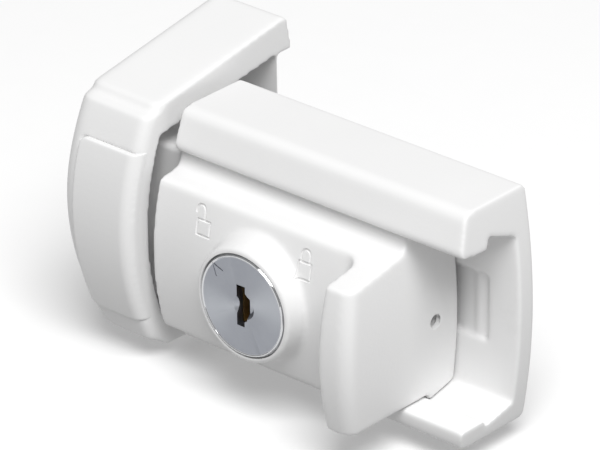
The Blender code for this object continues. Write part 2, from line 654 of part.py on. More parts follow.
def slider_housing():
    shape = prism(slider_section(), "X", SLIDER_LEFT, SLIDER_RIGHT + 3 * SLIDER_BULGE)
    join(shape, grip_shape())
    keep(shape, prism(slider_end(), "Y", -3 * BASE_DEPTH, 0))
    join(shape, collar_shape())
    tongue = rounded([
        (TONGUE_SIDES[0], TONGUE_LEVELS[0], 0.6), (TONGUE_SIDES[1], TONGUE_LEVELS[0], 0.6),
        (TONGUE_SIDES[1], TONGUE_LEVELS[1], 0.6), (TONGUE_SIDES[0], TONGUE_LEVELS[1], 0.6),
    ], steps=2)
    join(shape, prism(tongue, "X", TONGUE_END, SLIDER_LEFT + CUT))
    cut(shape, slider_cavity())
    seat = CYLINDER_FRONT - 0.1
    cut(shape, rod(PLUG_X, PLUG_Z, CAP_RADIUS + CLEARANCE, (PLUG_FACE - CUT, seat), 48))
    cut(shape, rod(PLUG_X, PLUG_Z, CYLINDER_RADIUS + CLEARANCE, (seat - CUT, CORE_BACK + CUT), 40))
    hole = circle(GRUB_Y, PLUG_Z, GRUB_RADIUS + CLEARANCE, 24)
    cut(shape, prism(hole, "X", PLUG_X + CYLINDER_RADIUS - 2, SLIDER_RIGHT + 2 * SLIDER_BULGE))
    slot = (BAR_SIDES[0] - SLOT_PLAY, BAR_SIDES[1] + SLOT_PLAY)
    depths = (BAR_FRONT - SLOT_PLAY, BAR_BACK + SLOT_PLAY)
    cut(shape, box(slot, depths, (CAVITY_LEVELS[1] - CUT, HALF_HEIGHT)))
    cut(shape, rod(PLUNGER_X, PLUNGER_Z, PLUNGER + CLEARANCE, (BAR_BACK - 9.4, BAR_BACK + CUT), 24))
    for x, z in PLATE_SCREWS:
        cut(shape, rod(x, z, PLATE_SCREW + CLEARANCE, (BAR_BACK - 6, BAR_BACK + CUT), 16))
    return shape


def slider_back_plate():
    grow = REBATE - CLEARANCE
    sides = (CAVITY_SIDES[0] - grow, CAVITY_SIDES[1] + grow)
    levels = (CAVITY_LEVELS[0] - grow, CAVITY_LEVELS[1] + grow)
    shape = box(sides, (PLATE_FRONT, SLIDER_BACK), levels)
    ends = (STOP_X - TRAVEL - STOP_PIN - CLEARANCE, STOP_X + STOP_PIN + CLEARANCE)
    half = STOP_PIN + CLEARANCE
    slot = rounded([(ends[0], STOP_Z - half, half - 0.01), (ends[1], STOP_Z - half, half - 0.01),
                    (ends[1], STOP_Z + half, half - 0.01), (ends[0], STOP_Z + half, half - 0.01)])
    cut(shape, prism(slot, "Y", PLATE_FRONT - CUT, SLIDER_BACK + CUT))
    cut(shape, rod(PLUNGER_X, PLUNGER_Z, PLUNGER + CLEARANCE, (PLATE_FRONT - CUT, SLIDER_BACK + CUT), 24))
    for x, z in PLATE_SCREWS:
        cut(shape, screw_hole(x, z, SLIDER_BACK, PLATE_FRONT, PLATE_SCREW + CLEARANCE, 2.3))
    return shape


def back_plate_screw(x, z):
    """A countersunk slotted screw that holds the back plate."""
    head = 2.3 - CLEARANCE
    flush = SLIDER_BACK - 0.05
    profile = [(0, flush), (head, flush), (PLATE_SCREW, flush - head + PLATE_SCREW),
               (PLATE_SCREW, BAR_BACK - 5.4), (0, BAR_BACK - 5.4)]
    screw = turned(profile, (x, z), steps=20)
    return cut(screw, box((x - 0.3, x + 0.3), (flush - 0.5, flush + CUT), (z - 1.4, z + 1.4)))


def cylinder_grub_screw():
    """The set screw that holds the lock cylinder in the slider."""
    start = PLUG_X + CYLINDER_RADIUS + CLEARANCE
    shape = prism(circle(GRUB_Y, PLUG_Z, GRUB_RADIUS, 20), "X", start, start + 6)
    return cut(shape, prism(circle(GRUB_Y, PLUG_Z, 0.8, 6), "X", start + 4, start + 7))


def friction_plunger():
    """A nylon plug pressed on the channel's floor, which holds the slider where it is left."""
    profile = [(0, SLIDER_BACK), (PLUNGER - 0.5, SLIDER_BACK), (PLUNGER, SLIDER_BACK - 0.5),
               (PLUNGER, SLIDER_BACK - 5), (0, SLIDER_BACK - 5)]
    return turned(profile, (PLUNGER_X, PLUNGER_Z), steps=24)


def plunger_spring():
    front = (PLUNGER_X, BAR_BACK - 9.4 + 2 * CLEARANCE, PLUNGER_Z)
    back = (PLUNGER_X, SLIDER_BACK - 5 - 2 * CLEARANCE, PLUNGER_Z)
    return spring(front, back, PLUNGER - 0.5, 0.25, 4, "plunger_spring")


# ---------------------------------------------------------------- lock cylinder

def cylinder_body():
    ends = (CYLINDER_FRONT, CORE_BACK)
    shape = rod(PLUG_X, PLUG_Z, CYLINDER_RADIUS, ends, 40)
    cut(shape, rod(PLUG_X, PLUG_Z, CORE_RADIUS + CLEARANCE, (ends[0] - CUT, ends[1] + CUT), 40))
    broach = CORE_RADIUS + CLEARANCE + 0.9
    depths = (ends[0] + 1.5, ends[1] - 1.5)
    return cut(shape, box(around(PLUG_X, 3.3), depths, around(PLUG_Z, broach)))


def keyway(ys, grow=0.0):
    wide, tall = KEYWAY[0] / 2 + grow, KEYWAY[1] / 2 + grow
    return box(around(PLUG_X, wide), ys, around(PLUG_Z, tall))


def plug_cap():
    """The plated disc on the plug's face."""
    rim = 0.5
    profile = [(0, PLUG_FACE), (CAP_RADIUS - rim, PLUG_FACE), (CAP_RADIUS, PLUG_FACE + rim),
               (CAP_RADIUS, CAP_BACK), (0, CAP_BACK)]
    shape = turned(profile, (PLUG_X, PLUG_Z), steps=48)
    cut(shape, rod(PLUG_X + 0.4, PLUG_Z, KEYWAY[0], (PLUG_FACE - CUT, PLUG_FACE + 0.8), 24))
    return cut(shape, keyway((PLUG_FACE - CUT, CAP_BACK + CUT)))


def wafer_places():
    """The Y of each wafer's front face."""
    return [WAFER_START + WAFER_PITCH * index for index in range(WAFER_COUNT)]


def plug_core():
    """The turned brass core, with its keyway, wafer slots and the staked tail behind."""
    shape = rod(PLUG_X, PLUG_Z, CORE_RADIUS, (CYLINDER_FRONT, CORE_BACK), 40)
    join(shape, rod(PLUG_X, PLUG_Z, 1.6, (CORE_BACK - CUT, CAM_BACK - 0.1), 20))
    cut(shape, keyway((CYLINDER_FRONT - CUT, CORE_BACK - 2)))
    half = WAFER_WIDTH / 2 + CLEARANCE
    for start in wafer_places():
        ys = (start - CLEARANCE, start + WAFER_THICKNESS + CLEARANCE)
        cut(shape, box(around(PLUG_X, half), ys, around(PLUG_Z, 2 * CORE_RADIUS)))
        cut(shape, box((PLUG_X, PLUG_X + CHAMBER[1]), ys, around(PLUG_Z, LUG_TOP + CLEARANCE)))
    return shape


def wafer(start):
    """A brass wafer with the key's window and the lug that its spring lifts."""
    half = WAFER_WIDTH / 2
    ys = (start, start + WAFER_THICKNESS)
    shape = box(around(PLUG_X, half), ys, around(PLUG_Z, WAFER_HEIGHT / 2))
    lug = (PLUG_Z + LUG_TOP - 0.9, PLUG_Z + LUG_TOP)
    join(shape, box((PLUG_X, PLUG_X + CHAMBER[1] - CLEARANCE), ys, lug))
    return cut(shape, keyway((start - CUT, start + WAFER_THICKNESS + CUT), grow=-0.2))


def wafer_spring(start):
    x = PLUG_X + (CHAMBER[0] + CHAMBER[1] - CLEARANCE) / 2
    y = start + WAFER_THICKNESS / 2
    low = PLUG_Z - LUG_TOP + 0.2
    return spring((x, y, low), (x, y, PLUG_Z + LUG_TOP - 1.5), 0.42, 0.13, 4, "spring", per_turn=8, sides=4)


def drive_cam():
    """The disc staked on the core's tail, with the pin that lifts the locking bar."""
    shape = rod(PLUG_X, PLUG_Z, CORE_RADIUS + 1, (CAM_FRONT, CAM_BACK), 32)
    join(shape, rod(PLUG_X + PIN_X, PLUG_Z + PIN_Z, PIN_RADIUS, (CAM_BACK - 0.5, BAR_BACK - 0.1), 24))
    return cut(shape, rod(PLUG_X, PLUG_Z, 1.6 + CLEARANCE, (CAM_FRONT - CUT, BAR_BACK), 20))


def locking_bar():
    """The flat bar that the cam pin lifts into the base's notch."""
    shape = box(BAR_SIDES, (BAR_FRONT, BAR_BACK), (BAR_BOTTOM, BAR_TOP))
    reach = PIN_RADIUS + SLOT_PLAY
    slot = (PLUG_X - PIN_THROW - reach, PLUG_X + PIN_X + reach)
    levels = (PLUG_Z + PIN_Z - reach, PLUG_Z + PIN_Z + reach)
    return cut(shape, box(slot, (BAR_FRONT - CUT, BAR_BACK + CUT), levels))


# ---------------------------------------------------------------- the assembly

def build():
    white = material("white_powder_coat", (0.86, 0.86, 0.87), 0.42, 0.0)
    chrome = material("satin_chrome", (0.72, 0.73, 0.75), 0.25, 1.0)
    steel = material("zinc_steel", (0.62, 0.63, 0.65), 0.35, 1.0)
    brass = material("brass", (0.78, 0.61, 0.30), 0.35, 1.0)
    nylon = material("natural_nylon", (0.85, 0.84, 0.78), 0.5, 0.0)

    fixed = carrier("base_body", 0, 0, 0)
    sliding = carrier("slider_body", SLIDER_LEFT, 0, PLUG_Z)
    turning = carrier("plug_body", PLUG_X, 0, PLUG_Z)
    lifting = carrier("bar_body", PLUG_X, 0, PLUG_Z)

    node(base_housing(), "base_housing", white, fixed)
    node(travel_stop_pin(), "travel_stop_pin", steel, fixed)
    node(keeper_housing(), "keeper_housing", white, fixed)
    node(keeper_cover(), "keeper_cover", white, fixed)

    node(slider_housing(), "slider_housing", white, sliding)
    node(slider_back_plate(), "slider_back_plate", steel, sliding)
    for index, (x, z) in enumerate(PLATE_SCREWS, start=1):
        node(back_plate_screw(x, z), f"back_plate_screw_{index}", steel, sliding)
    node(cylinder_body(), "cylinder_body", brass, sliding)
    node(cylinder_grub_screw(), "cylinder_grub_screw", steel, sliding)
    node(friction_plunger(), "friction_plunger", nylon, sliding)
    node(plunger_spring(), "plunger_spring", steel, sliding)

    node(plug_cap(), "plug_cap", chrome, turning)
    node(plug_core(), "plug_core", brass, turning)
    for index, start in enumerate(wafer_places(), start=1):
        node(wafer(start), f"wafer_{index}", brass, turning)
        node(wafer_spring(start), f"wafer_spring_{index}", steel, turning)
    node(drive_cam(), "drive_cam", steel, turning)

    node(locking_bar(), "locking_bar", steel, lifting)


for old in list(bpy.data.objects):
    bpy.data.objects.remove(old)
build()
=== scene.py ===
# %% [markdown]
# # A keyed sliding-bolt lock
#
# The lock has two white castings that are screwed to two leaves, a slider with a finger
# grip that runs in the wider one, and a chromed lock plug in the slider. The imported CAD
# model gives every place and size. This lesson builds the visible pieces round it with
# softer edges and finer detail, and then gives each piece a finish.
#
# The first cell loads that frame, and the CAD pieces are kept, so that their boxes give the sizes.

# %% Load the frame
import json
import math

import bpy
import numpy as np
from mathutils import Matrix, Vector


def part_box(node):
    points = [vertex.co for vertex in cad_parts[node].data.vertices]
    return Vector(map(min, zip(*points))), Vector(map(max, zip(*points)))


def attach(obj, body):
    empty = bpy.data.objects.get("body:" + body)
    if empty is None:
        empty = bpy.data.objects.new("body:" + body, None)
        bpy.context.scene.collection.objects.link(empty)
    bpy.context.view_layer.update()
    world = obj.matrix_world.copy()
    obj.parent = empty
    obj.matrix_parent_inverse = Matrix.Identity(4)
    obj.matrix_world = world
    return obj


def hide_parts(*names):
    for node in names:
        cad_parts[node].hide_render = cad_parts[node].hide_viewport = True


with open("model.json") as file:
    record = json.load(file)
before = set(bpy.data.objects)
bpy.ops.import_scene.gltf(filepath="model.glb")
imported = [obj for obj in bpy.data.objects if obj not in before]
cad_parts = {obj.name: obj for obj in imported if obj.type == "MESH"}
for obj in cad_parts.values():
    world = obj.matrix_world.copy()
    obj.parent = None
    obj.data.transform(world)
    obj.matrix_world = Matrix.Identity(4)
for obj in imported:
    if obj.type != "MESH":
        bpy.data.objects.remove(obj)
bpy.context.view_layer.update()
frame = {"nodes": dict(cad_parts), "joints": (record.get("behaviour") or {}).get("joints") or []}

# %% [markdown]
# Blender works in metres here, but a lock is drawn in millimetres. The sizes below are in
# millimetres and are read from the CAD pieces, so the visible pieces can't drift away from
# the frame. X runs along the slide, Y from the front to the mounting face, and Z is up.

# %% Sizes from the frame
MM = 0.001


def corners(node):
    """A CAD node's lowest and highest corners, in millimetres."""
    low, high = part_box(node)
    return low / MM, high / MM


BASE_LOW, BASE_HIGH = corners("base_housing")
SLIDER_LOW, SLIDER_HIGH = corners("slider_housing")
KEEPER_LOW, KEEPER_HIGH = corners("keeper_housing")
COVER_LOW, COVER_HIGH = corners("keeper_cover")
CAP_LOW, CAP_HIGH = corners("plug_cap")
PLATE_LOW, PLATE_HIGH = corners("slider_back_plate")
BAR_LOW, BAR_HIGH = corners("locking_bar")
BODY_LOW, BODY_HIGH = corners("cylinder_body")
slide = next(joint for joint in frame["joints"] if joint["name"] == "bolt_slide")
TRAVEL = slide["range_m"][1] / MM
PLAY = 0.3                                  # room between pieces that slide on each other
BAR_PLAY = 0.35                             # and round the locking bar
CUT = 1.0                                   # how far a cutter runs past the face it opens
print("base", [round(c, 1) for c in BASE_HIGH - BASE_LOW], "travel", round(TRAVEL, 1))

# %% [markdown]
# The camera comes first, because every later choice is judged through it. A long lens far
# away keeps the lock's edges almost parallel, as in a catalogue picture. The camera is
# placed from the direction that it looks along: 42 degrees round from the front and 27
# degrees above, with a slight tilt.

# %% Camera
AIM = Vector((-4.5, -17.0, 5.0)) * MM       # a point in the middle of the lock
AROUND, ABOVE, TILT = math.radians(42.05), math.radians(26.94), math.radians(-0.81)
DISTANCE = 904.6 * MM
LENS = 320.66
OFF_CENTRE = Vector((0.8, 3.53)) * MM       # how far the aim is from the picture's middle

sideways = Vector((math.cos(AROUND), math.sin(AROUND), 0))
towards = Vector((math.sin(AROUND) * math.cos(ABOVE), -math.cos(AROUND) * math.cos(ABOVE),
                  math.sin(ABOVE)))
upwards = towards.cross(sideways)
right = sideways * math.cos(TILT) + upwards * math.sin(TILT)
top = upwards * math.cos(TILT) - sideways * math.sin(TILT)

place = AIM + towards * DISTANCE + right * OFF_CENTRE.x + top * OFF_CENTRE.y
bpy.ops.object.camera_add(location=place)
camera = bpy.context.object
camera.name = "camera"
turn = np.array((right, top, towards)).T
camera.rotation_mode = "QUATERNION"
camera.rotation_quaternion = Matrix(turn.tolist()).to_quaternion()
camera.data.sensor_width = 36
camera.data.lens = LENS
camera.data.clip_start, camera.data.clip_end = 0.01, 10
bpy.context.scene.camera = camera
print("camera at", [round(c, 3) for c in camera.location])

# %% [markdown]
# The floor is one wide, plain, pale sheet that the keeper's foot stands on. It is hidden from
# diffuse rays: a white sheet this large would throw light up under the lock and wash out the
# shading of its front.

# %% Floor
FLOOR_LEVEL = KEEPER_LOW.z * MM
FLOOR_SIZE = 6.0
bpy.ops.mesh.primitive_plane_add(size=FLOOR_SIZE, location=(0, 0, FLOOR_LEVEL))
floor = bpy.context.object
floor.name = "floor"
bpy.ops.object.transform_apply(location=True)
floor.visible_diffuse = False
print("floor at", round(FLOOR_LEVEL / MM, 1), "mm")

# %% [markdown]
# The light is soft and comes from everywhere, like a light tent. A pale world lights all
# sides alike, and one wide lamp, high up in front and on the right, makes the tops the
# brightest faces and keeps the end faces a little brighter than the front.

# %% Light
bpy.context.scene.view_settings.view_transform = "Standard"
world = bpy.data.worlds.new("light_tent")
bpy.context.scene.world = world
world.use_nodes = True
tent = world.node_tree.nodes["Background"].inputs
tent["Color"].default_value = (1.0, 1.0, 1.0, 1)
tent["Strength"].default_value = 0.38

LAMP_PLACE = Vector((0.584, -0.493, 1.18))  # metres
bpy.ops.object.light_add(type="AREA", location=LAMP_PLACE)
lamp = bpy.context.object
lamp.name = "key_lamp"
lamp.data.size = 0.80
lamp.data.energy = 18.0                     # watts
lamp.rotation_mode = "QUATERNION"
lamp.rotation_quaternion = (LAMP_PLACE - AIM).to_track_quat("Z", "Y")
print("lamp:", round((LAMP_PLACE - AIM).length, 2), "m away")

# %% [markdown]
# Most pieces of a casting start as an outline: the drawing of a section, whose corners are
# rounded. `rounded` turns a list of corners, each with a radius, into such an outline, and
# `bow` gives the points of a crowned line. They only work out numbers.

# %% Outlines


def rounded(outline_corners, steps=5):
    """An outline from (u, v, radius) corners, where each corner with a radius becomes an arc."""
    outline = []
    for index, (u, v, radius) in enumerate(outline_corners):
        here = Vector((u, v))
        if radius == 0:
            outline.append(here)
            continue
        following = outline_corners[(index + 1) % len(outline_corners)]
        before = (Vector(outline_corners[index - 1][:2]) - here).normalized()
        after = (Vector(following[:2]) - here).normalized()
        half = before.angle(after) / 2
        centre = here + (before + after).normalized() * (radius / math.sin(half))
        spoke = here + before * (radius / math.tan(half)) - centre
        end = here + after * (radius / math.tan(half)) - centre
        sweep = math.copysign(math.pi - 2 * half, spoke.x * end.y - spoke.y * end.x)
        for step in range(steps + 1):
            turned_by = Matrix.Rotation(sweep * step / steps, 2)
            outline.append(centre + turned_by @ spoke)
    return outline


def bow(start, end, rise, steps=24):
    """The points between two ends of a line that stands off its chord to the left by rise."""
    start, end = Vector(start), Vector(end)
    chord = end - start
    side = Vector((-chord.y, chord.x)).normalized()
    shares = [step / steps for step in range(1, steps)]
    return [start + chord * s + side * rise * 4 * s * (1 - s) for s in shares]


def ring(u, v, radius, steps=48):
    """A full circle."""
    angles = [math.tau * step / steps for step in range(steps)]
    return [Vector((u + radius * math.cos(a), v + radius * math.sin(a))) for a in angles]


def oblong(us, vs):
    return [Vector((us[i], vs[j])) for i, j in ((0, 0), (1, 0), (1, 1), (0, 1))]


def around(middle, reach):
    """The two ends of a span."""
    return (middle - reach, middle + reach)


print("a 2 mm corner takes", len(rounded([(0, 0, 2), (9, 0, 0), (9, 9, 0), (0, 9, 0)])), "points")

# %% [markdown]
# `push` makes a solid from an outline, as by hand: a filled circle with one vertex for each
# point of the outline, moved onto the outline, then extruded in edit mode. Everything is
# deselected first, because an operator acts on whatever is selected.

# %% Solids from an outline
PLACES = {
    "X": lambda u, v, along: Vector((along, u, v)),
    "Y": lambda u, v, along: Vector((u, along, v)),
    "Z": lambda u, v, along: Vector((u, v, along)),
}


def alone(piece):
    """Leaves only this piece selected and active."""
    bpy.ops.object.select_all(action="DESELECT")
    piece.select_set(True)
    bpy.context.view_layer.objects.active = piece


def tidy_faces(piece):
    """Merges doubled points and turns every face outwards."""
    alone(piece)
    bpy.ops.object.mode_set(mode="EDIT")
    bpy.ops.mesh.select_all(action="SELECT")
    bpy.ops.mesh.remove_doubles(threshold=1e-6)
    bpy.ops.mesh.delete_loose()
    bpy.ops.mesh.select_all(action="SELECT")
    bpy.ops.mesh.normals_make_consistent(inside=False)
    bpy.ops.object.mode_set(mode="OBJECT")
    return piece


def outline_object(name, points, fill):
    """A circle of vertices moved onto these points, which are in millimetres."""
    bpy.ops.object.select_all(action="DESELECT")
    bpy.ops.mesh.primitive_circle_add(vertices=len(points), fill_type=fill)
    piece = bpy.context.object
    piece.name = name
    for vertex, point in zip(piece.data.vertices, points):
        vertex.co = point * MM
    return piece


def push(name, outline, axis, low, high):
    """A (u, v) outline pushed along an axis. It lies in the other two, in alphabetical order."""
    place = PLACES[axis]
    piece = outline_object(name, [place(u, v, low) for u, v in outline], "NGON")
    bpy.ops.object.mode_set(mode="EDIT")
    bpy.ops.mesh.select_all(action="SELECT")
    bpy.ops.mesh.extrude_region_move(TRANSFORM_OT_translate={"value": place(0, 0, high - low) * MM})
    bpy.ops.object.mode_set(mode="OBJECT")
    return tidy_faces(piece)


def block(name, xs, ys, zs):
    return push(name, oblong(xs, zs), "Y", ys[0], ys[1])


def rod(name, x, z, radius, ys, steps=48):
    """A round bar along Y."""
    return push(name, ring(x, z, radius, steps), "Y", ys[0], ys[1])


sample = block("sample", (0, 1), (0, 1), (0, 1))
print("a pushed square has", len(sample.data.polygons), "faces")
bpy.data.objects.remove(sample)

# %% [markdown]
# Round pieces are turned on a lathe, and the Spin operator does the same to a profile. The
# profile is a closed loop of (radius, y) points. Spin can leave the shape inside out, so its
# doubled points are merged and its normals are worked out again.

# %% Solids from a turned profile


def turned(name, profile, centre, steps=64):
    """A closed profile of (radius, y) points spun about a Y axis through centre (x, z)."""
    points = [Vector((centre[0] + radius, y, centre[1])) for radius, y in profile]
    piece = outline_object(name, points, "NOTHING")
    bpy.ops.object.mode_set(mode="EDIT")
    bpy.ops.mesh.select_all(action="SELECT")
    middle = Vector((centre[0], 0, centre[1])) * MM
    bpy.ops.mesh.spin(steps=steps, angle=math.tau, center=middle, axis=(0, 1, 0))
    bpy.ops.object.mode_set(mode="OBJECT")
    return tidy_faces(piece)


sample = turned("sample", [(0, 0), (2, 0), (2, 1), (0, 1)], (0, 0))
print("a turned disc has", len(sample.data.vertices), "points")
bpy.data.objects.remove(sample)

# %% [markdown]
# Some castings change their outline along their length. For those, a grid is rolled into a
# tube: each row of the grid becomes one ring of points. The two open ends are then filled.

# %% Solids from rings


def rolled(name, rings):
    """A skin over rings of points with the same count, closed at both ends."""
    bpy.ops.object.select_all(action="DESELECT")
    bpy.ops.mesh.primitive_grid_add(
        x_subdivisions=len(rings[0]), y_subdivisions=len(rings) - 1, size=2)
    piece = bpy.context.object
    piece.name = name
    for vertex in piece.data.vertices:
        column = round((vertex.co.x + 1) / 2 * len(rings[0])) % len(rings[0])
        row = round((vertex.co.y + 1) / 2 * (len(rings) - 1))
        vertex.co = Vector(rings[row][column]) * MM
    bpy.ops.object.mode_set(mode="EDIT")
    bpy.ops.mesh.select_all(action="SELECT")
    bpy.ops.mesh.remove_doubles(threshold=1e-6)
    bpy.ops.mesh.select_all(action="SELECT")
    bpy.ops.mesh.fill_holes(sides=0)
    bpy.ops.object.mode_set(mode="OBJECT")
    return tidy_faces(piece)


print("a grid with n columns and m rows makes m rings of n points")

# %% [markdown]
# Solids are joined and cut with the Boolean modifier. It is applied at once, and the tool
# that it used is removed.

# %% Join and cut


def combine(piece, tools, operation):
    for tool in tools:
        alone(piece)
        bpy.ops.object.modifier_add(type="BOOLEAN")
        modifier = piece.modifiers[-1]
        modifier.operation = operation
        modifier.solver = "EXACT"
        modifier.object = tool
        bpy.ops.object.modifier_apply(modifier=modifier.name)
        bpy.data.objects.remove(tool)
    return piece


def weld(piece, *tools):
    return combine(piece, tools, "UNION")


def cut(piece, *tools):
    return combine(piece, tools, "DIFFERENCE")


def keep(piece, *tools):
    return combine(piece, tools, "INTERSECT")


print("weld, cut and keep are ready")

# %% [markdown]
# A die casting has no sharp edge: the metal can't fill one, and the powder coat rounds it
# further. The Remesh modifier rebuilds a blocked-out shape from small even faces, and the
# Smooth modifier then rounds every edge and fills every inner corner a little, which a Bevel
# could not do where many cuts meet. Between the two, `bend` may move the points, because
# only an even mesh bends without creases.

# %% Soften a casting


def modify(piece, kind, **settings):
    """Adds a modifier, sets it and applies it."""
    alone(piece)
    bpy.ops.object.modifier_add(type=kind)
    modifier = piece.modifiers[-1]
    for setting, value in settings.items():
        setattr(modifier, setting, value)
    bpy.ops.object.modifier_apply(modifier=modifier.name)


def soften(piece, grain, passes, bend=None):
    """Rebuilds a shape from faces of this size in millimetres, bends it and smooths it."""
    modify(piece, "REMESH", mode="VOXEL", voxel_size=grain * MM)
    if bend:
        points = np.empty(len(piece.data.vertices) * 3)
        piece.data.vertices.foreach_get("co", points)
        points = points.reshape(-1, 3) / MM
        bend(points)
        piece.data.vertices.foreach_set("co", (points * MM).ravel())
        piece.data.update()
    modify(piece, "SMOOTH", factor=0.5, iterations=passes)
    alone(piece)
    bpy.ops.object.shade_smooth()
    print(piece.name, "has", len(piece.data.polygons), "faces")
    return piece


def finish_edges(piece, degrees=35):
    """Smooth shading that leaves the edges sharper than this angle crisp."""
    alone(piece)
    bpy.ops.object.shade_smooth_by_angle(angle=math.radians(degrees))
    return piece


GRAIN = 0.4                                 # the castings' face size, in millimetres
print("castings are rebuilt from faces of", GRAIN, "mm")

# %% [markdown]
# ## The base
#
# The base is a channel with a C-shaped section: a back wall against the leaf, a thick top
# lip and a thin bottom ledge that hold the slider. Its section is drawn once and pushed
# along the whole length. The right end bows outwards, which is done by bending.

# %% Base section
FRONT = -17.0
WALL = 3.8
TOP = BASE_HIGH.z
LEFT = BASE_LOW.x
END_BULGE = BASE_HIGH.x + LEFT
LIP_UNDER = TOP - 7.7
LEDGE = BASE_LOW.z + 3.9
LIP_BACK = FRONT + 6.0
base_section = rounded([
    (FRONT - 0.6, LIP_UNDER + 1.2, 0.9), (FRONT + 1.8, TOP, 2.4), (0, TOP, 0.8), (0, -TOP, 0.8),
    (FRONT + 0.4, -TOP, 1.6), (FRONT, LEDGE, 0.7), (LIP_BACK, LEDGE, 0.3),
    (LIP_BACK + 0.5, LEDGE - 1.4, 0.3), (-WALL, LEDGE + 0.4, 0.7), (-WALL, LIP_UNDER - 0.4, 0.7),
    (LIP_BACK + 0.7, LIP_UNDER + 2.0, 0.3), (LIP_BACK, LIP_UNDER - 0.1, 0.3),
    (FRONT, LIP_UNDER + 0.2, 0.5),
])
base = push("base_casting", base_section, "X", LEFT, -LEFT)
print("base length without its bulge", round(-2 * LEFT, 1))

# %% [markdown]
# Holes come next: the pocket with a ridge, past which the nylon plunger comes to rest, four
# countersunk screw holes and the hole for the stop pin. They are cut before the softening,
# so their rims come out as soft as the rest. The two notches for the locking bar are milled
# in the real casting, so they are cut afterwards and stay crisp.

# %% Base holes
SCREW, SCREW_HEAD = 2.1, 4.0                # radii
SCREW_COLUMNS = (-25.4, 11.4)
PIN_RADIUS = 1.8
PLUNGER_LOW, PLUNGER_HIGH = corners("friction_plunger")
plunger_x = (PLUNGER_LOW.x + PLUNGER_HIGH.x) / 2
plunger_z = (PLUNGER_LOW.z + PLUNGER_HIGH.z) / 2
PIN_LOW, PIN_HIGH = corners("travel_stop_pin")
BAR_LIFT = 5.1                              # a little over the bar's travel into its notch
pin_x, pin_z = (PIN_LOW.x + PIN_HIGH.x) / 2, (PIN_LOW.z + PIN_HIGH.z) / 2


def countersink(x, z, mouth, far):
    """A cutter for a countersunk hole that opens at mouth and leaves at far."""
    way = math.copysign(1, far - mouth)
    profile = [
        (0, mouth - way), (SCREW_HEAD, mouth - way), (SCREW_HEAD, mouth),
        (SCREW, mouth + way * (SCREW_HEAD - SCREW)), (SCREW, far + way), (0, far + way),
    ]
    return turned("hole", profile, (x, z), 32)


pocket_left, pocket_right = plunger_x + TRAVEL - 5.4, plunger_x + TRAVEL + 5.2
pocket_floor, ridge = -WALL + 1.2, -WALL + 0.75
pocket = [
    (pocket_left, -WALL - CUT), (pocket_left, pocket_floor), (pocket_right - 3.6, pocket_floor),
    (pocket_right - 2.6, ridge), (pocket_right - 1.6, ridge), (pocket_right - 1.5, pocket_floor),
    (pocket_right, pocket_floor), (pocket_right, -WALL - CUT),
]
cut(base, push("pocket", pocket, "Z", plunger_z - 10.5, plunger_z + 2.1))
for x in SCREW_COLUMNS:
    for z in (LEDGE + 5.5, LIP_UNDER - 5.5):
        cut(base, countersink(x, z, -WALL, 0))
cut(base, rod("pin_hole", pin_x, pin_z, PIN_RADIUS, (-WALL - CUT, CUT)))


def bow_right_end(start, end, bulge, half_height, middle=0.0):
    """A bend that moves points near the right end outwards, most of all at mid-height."""
    def bend(points):
        share = np.clip((points[:, 0] - start) / (end - start), 0, 1)
        level = np.clip((points[:, 2] - middle) / half_height, -1, 1)
        points[:, 0] += bulge * share ** 2 * (1 - level ** 2)
    return bend


soften(base, GRAIN, 8, bow_right_end(24, -LEFT, END_BULGE, TOP))
for shift in (0, TRAVEL):
    cut(base, block("notch", (BAR_LOW.x + shift - BAR_PLAY, BAR_HIGH.x + shift + BAR_PLAY),
                    (BAR_LOW.y - BAR_PLAY, BAR_HIGH.y + BAR_PLAY),
                    (LIP_UNDER - 0.5, BAR_HIGH.z + BAR_LIFT + BAR_PLAY)))
finish_edges(base, 40)
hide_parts("base_housing")
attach(base, "base")

# %% [markdown]
# ## The keeper
#
# The keeper is a deep hollow box whose front is crowned and whose left end is rounded and
# draws in towards its foot. Rings of points describe it best: each ring is the outline at
# one distance from the left end, and `quarter` says how far a rounded edge has drawn back
# there.

# %% Keeper shell
KEEPER_RIGHT = KEEPER_HIGH.x
KEEPER_WIDTH = KEEPER_HIGH.x - KEEPER_LOW.x
KEEPER_FRONT = 26.6
KEEPER_TOP, KEEPER_BOTTOM = TOP + 0.6, -TOP - 1.6
REAR = KEEPER_HIGH.y
RISE = 0.15                                 # slope of its top, upwards to the back
FRONT_BOW = 5.1                             # crown of its front
TAPER = 0.02                                # how fast its front draws back to the left


def quarter(distance, radius):
    """How far a quarter round of this radius has drawn in at a distance from the end."""
    short = max(radius - distance, 0)
    return radius - math.sqrt(radius ** 2 - short ** 2)


def keeper_front(back=0.0, lift=0.0, drop=0.0, steps=30):
    """The crowned front as (y, z) from top to foot, moved back, lifted or lowered."""
    start = (-KEEPER_FRONT + 5.2 + back, KEEPER_TOP - 1.6 - drop)
    foot = (-KEEPER_FRONT + 4.4 + back, KEEPER_BOTTOM + 2.2 + lift)
    return [Vector(start), *bow(start, foot, -FRONT_BOW, steps), Vector(foot)]


def keeper_section(distance):
    """The outline at this distance from the left end: (y, z)."""
    right_edge = quarter(KEEPER_WIDTH - distance, 2.0)
    front = quarter(distance, 4.2) + TAPER * (KEEPER_WIDTH - distance) + right_edge
    drop, lift = quarter(distance, 3.0), quarter(distance, 6.0)
    rear = REAR - quarter(distance, 1.5)
    rear_top = KEEPER_TOP + RISE * (KEEPER_FRONT - 5 + REAR) - drop
    ends = rounded([
        (-KEEPER_FRONT + 8, KEEPER_BOTTOM + lift, 0.4), (rear, KEEPER_BOTTOM - 2.4 + lift, 0.6),
        (rear, rear_top - 4.6, 0.6), (rear - 1, rear_top, 0.8),
        (-KEEPER_FRONT + 7.4 + front, KEEPER_TOP - drop, 1.2),
    ])
    return keeper_front(front, lift, drop) + ends


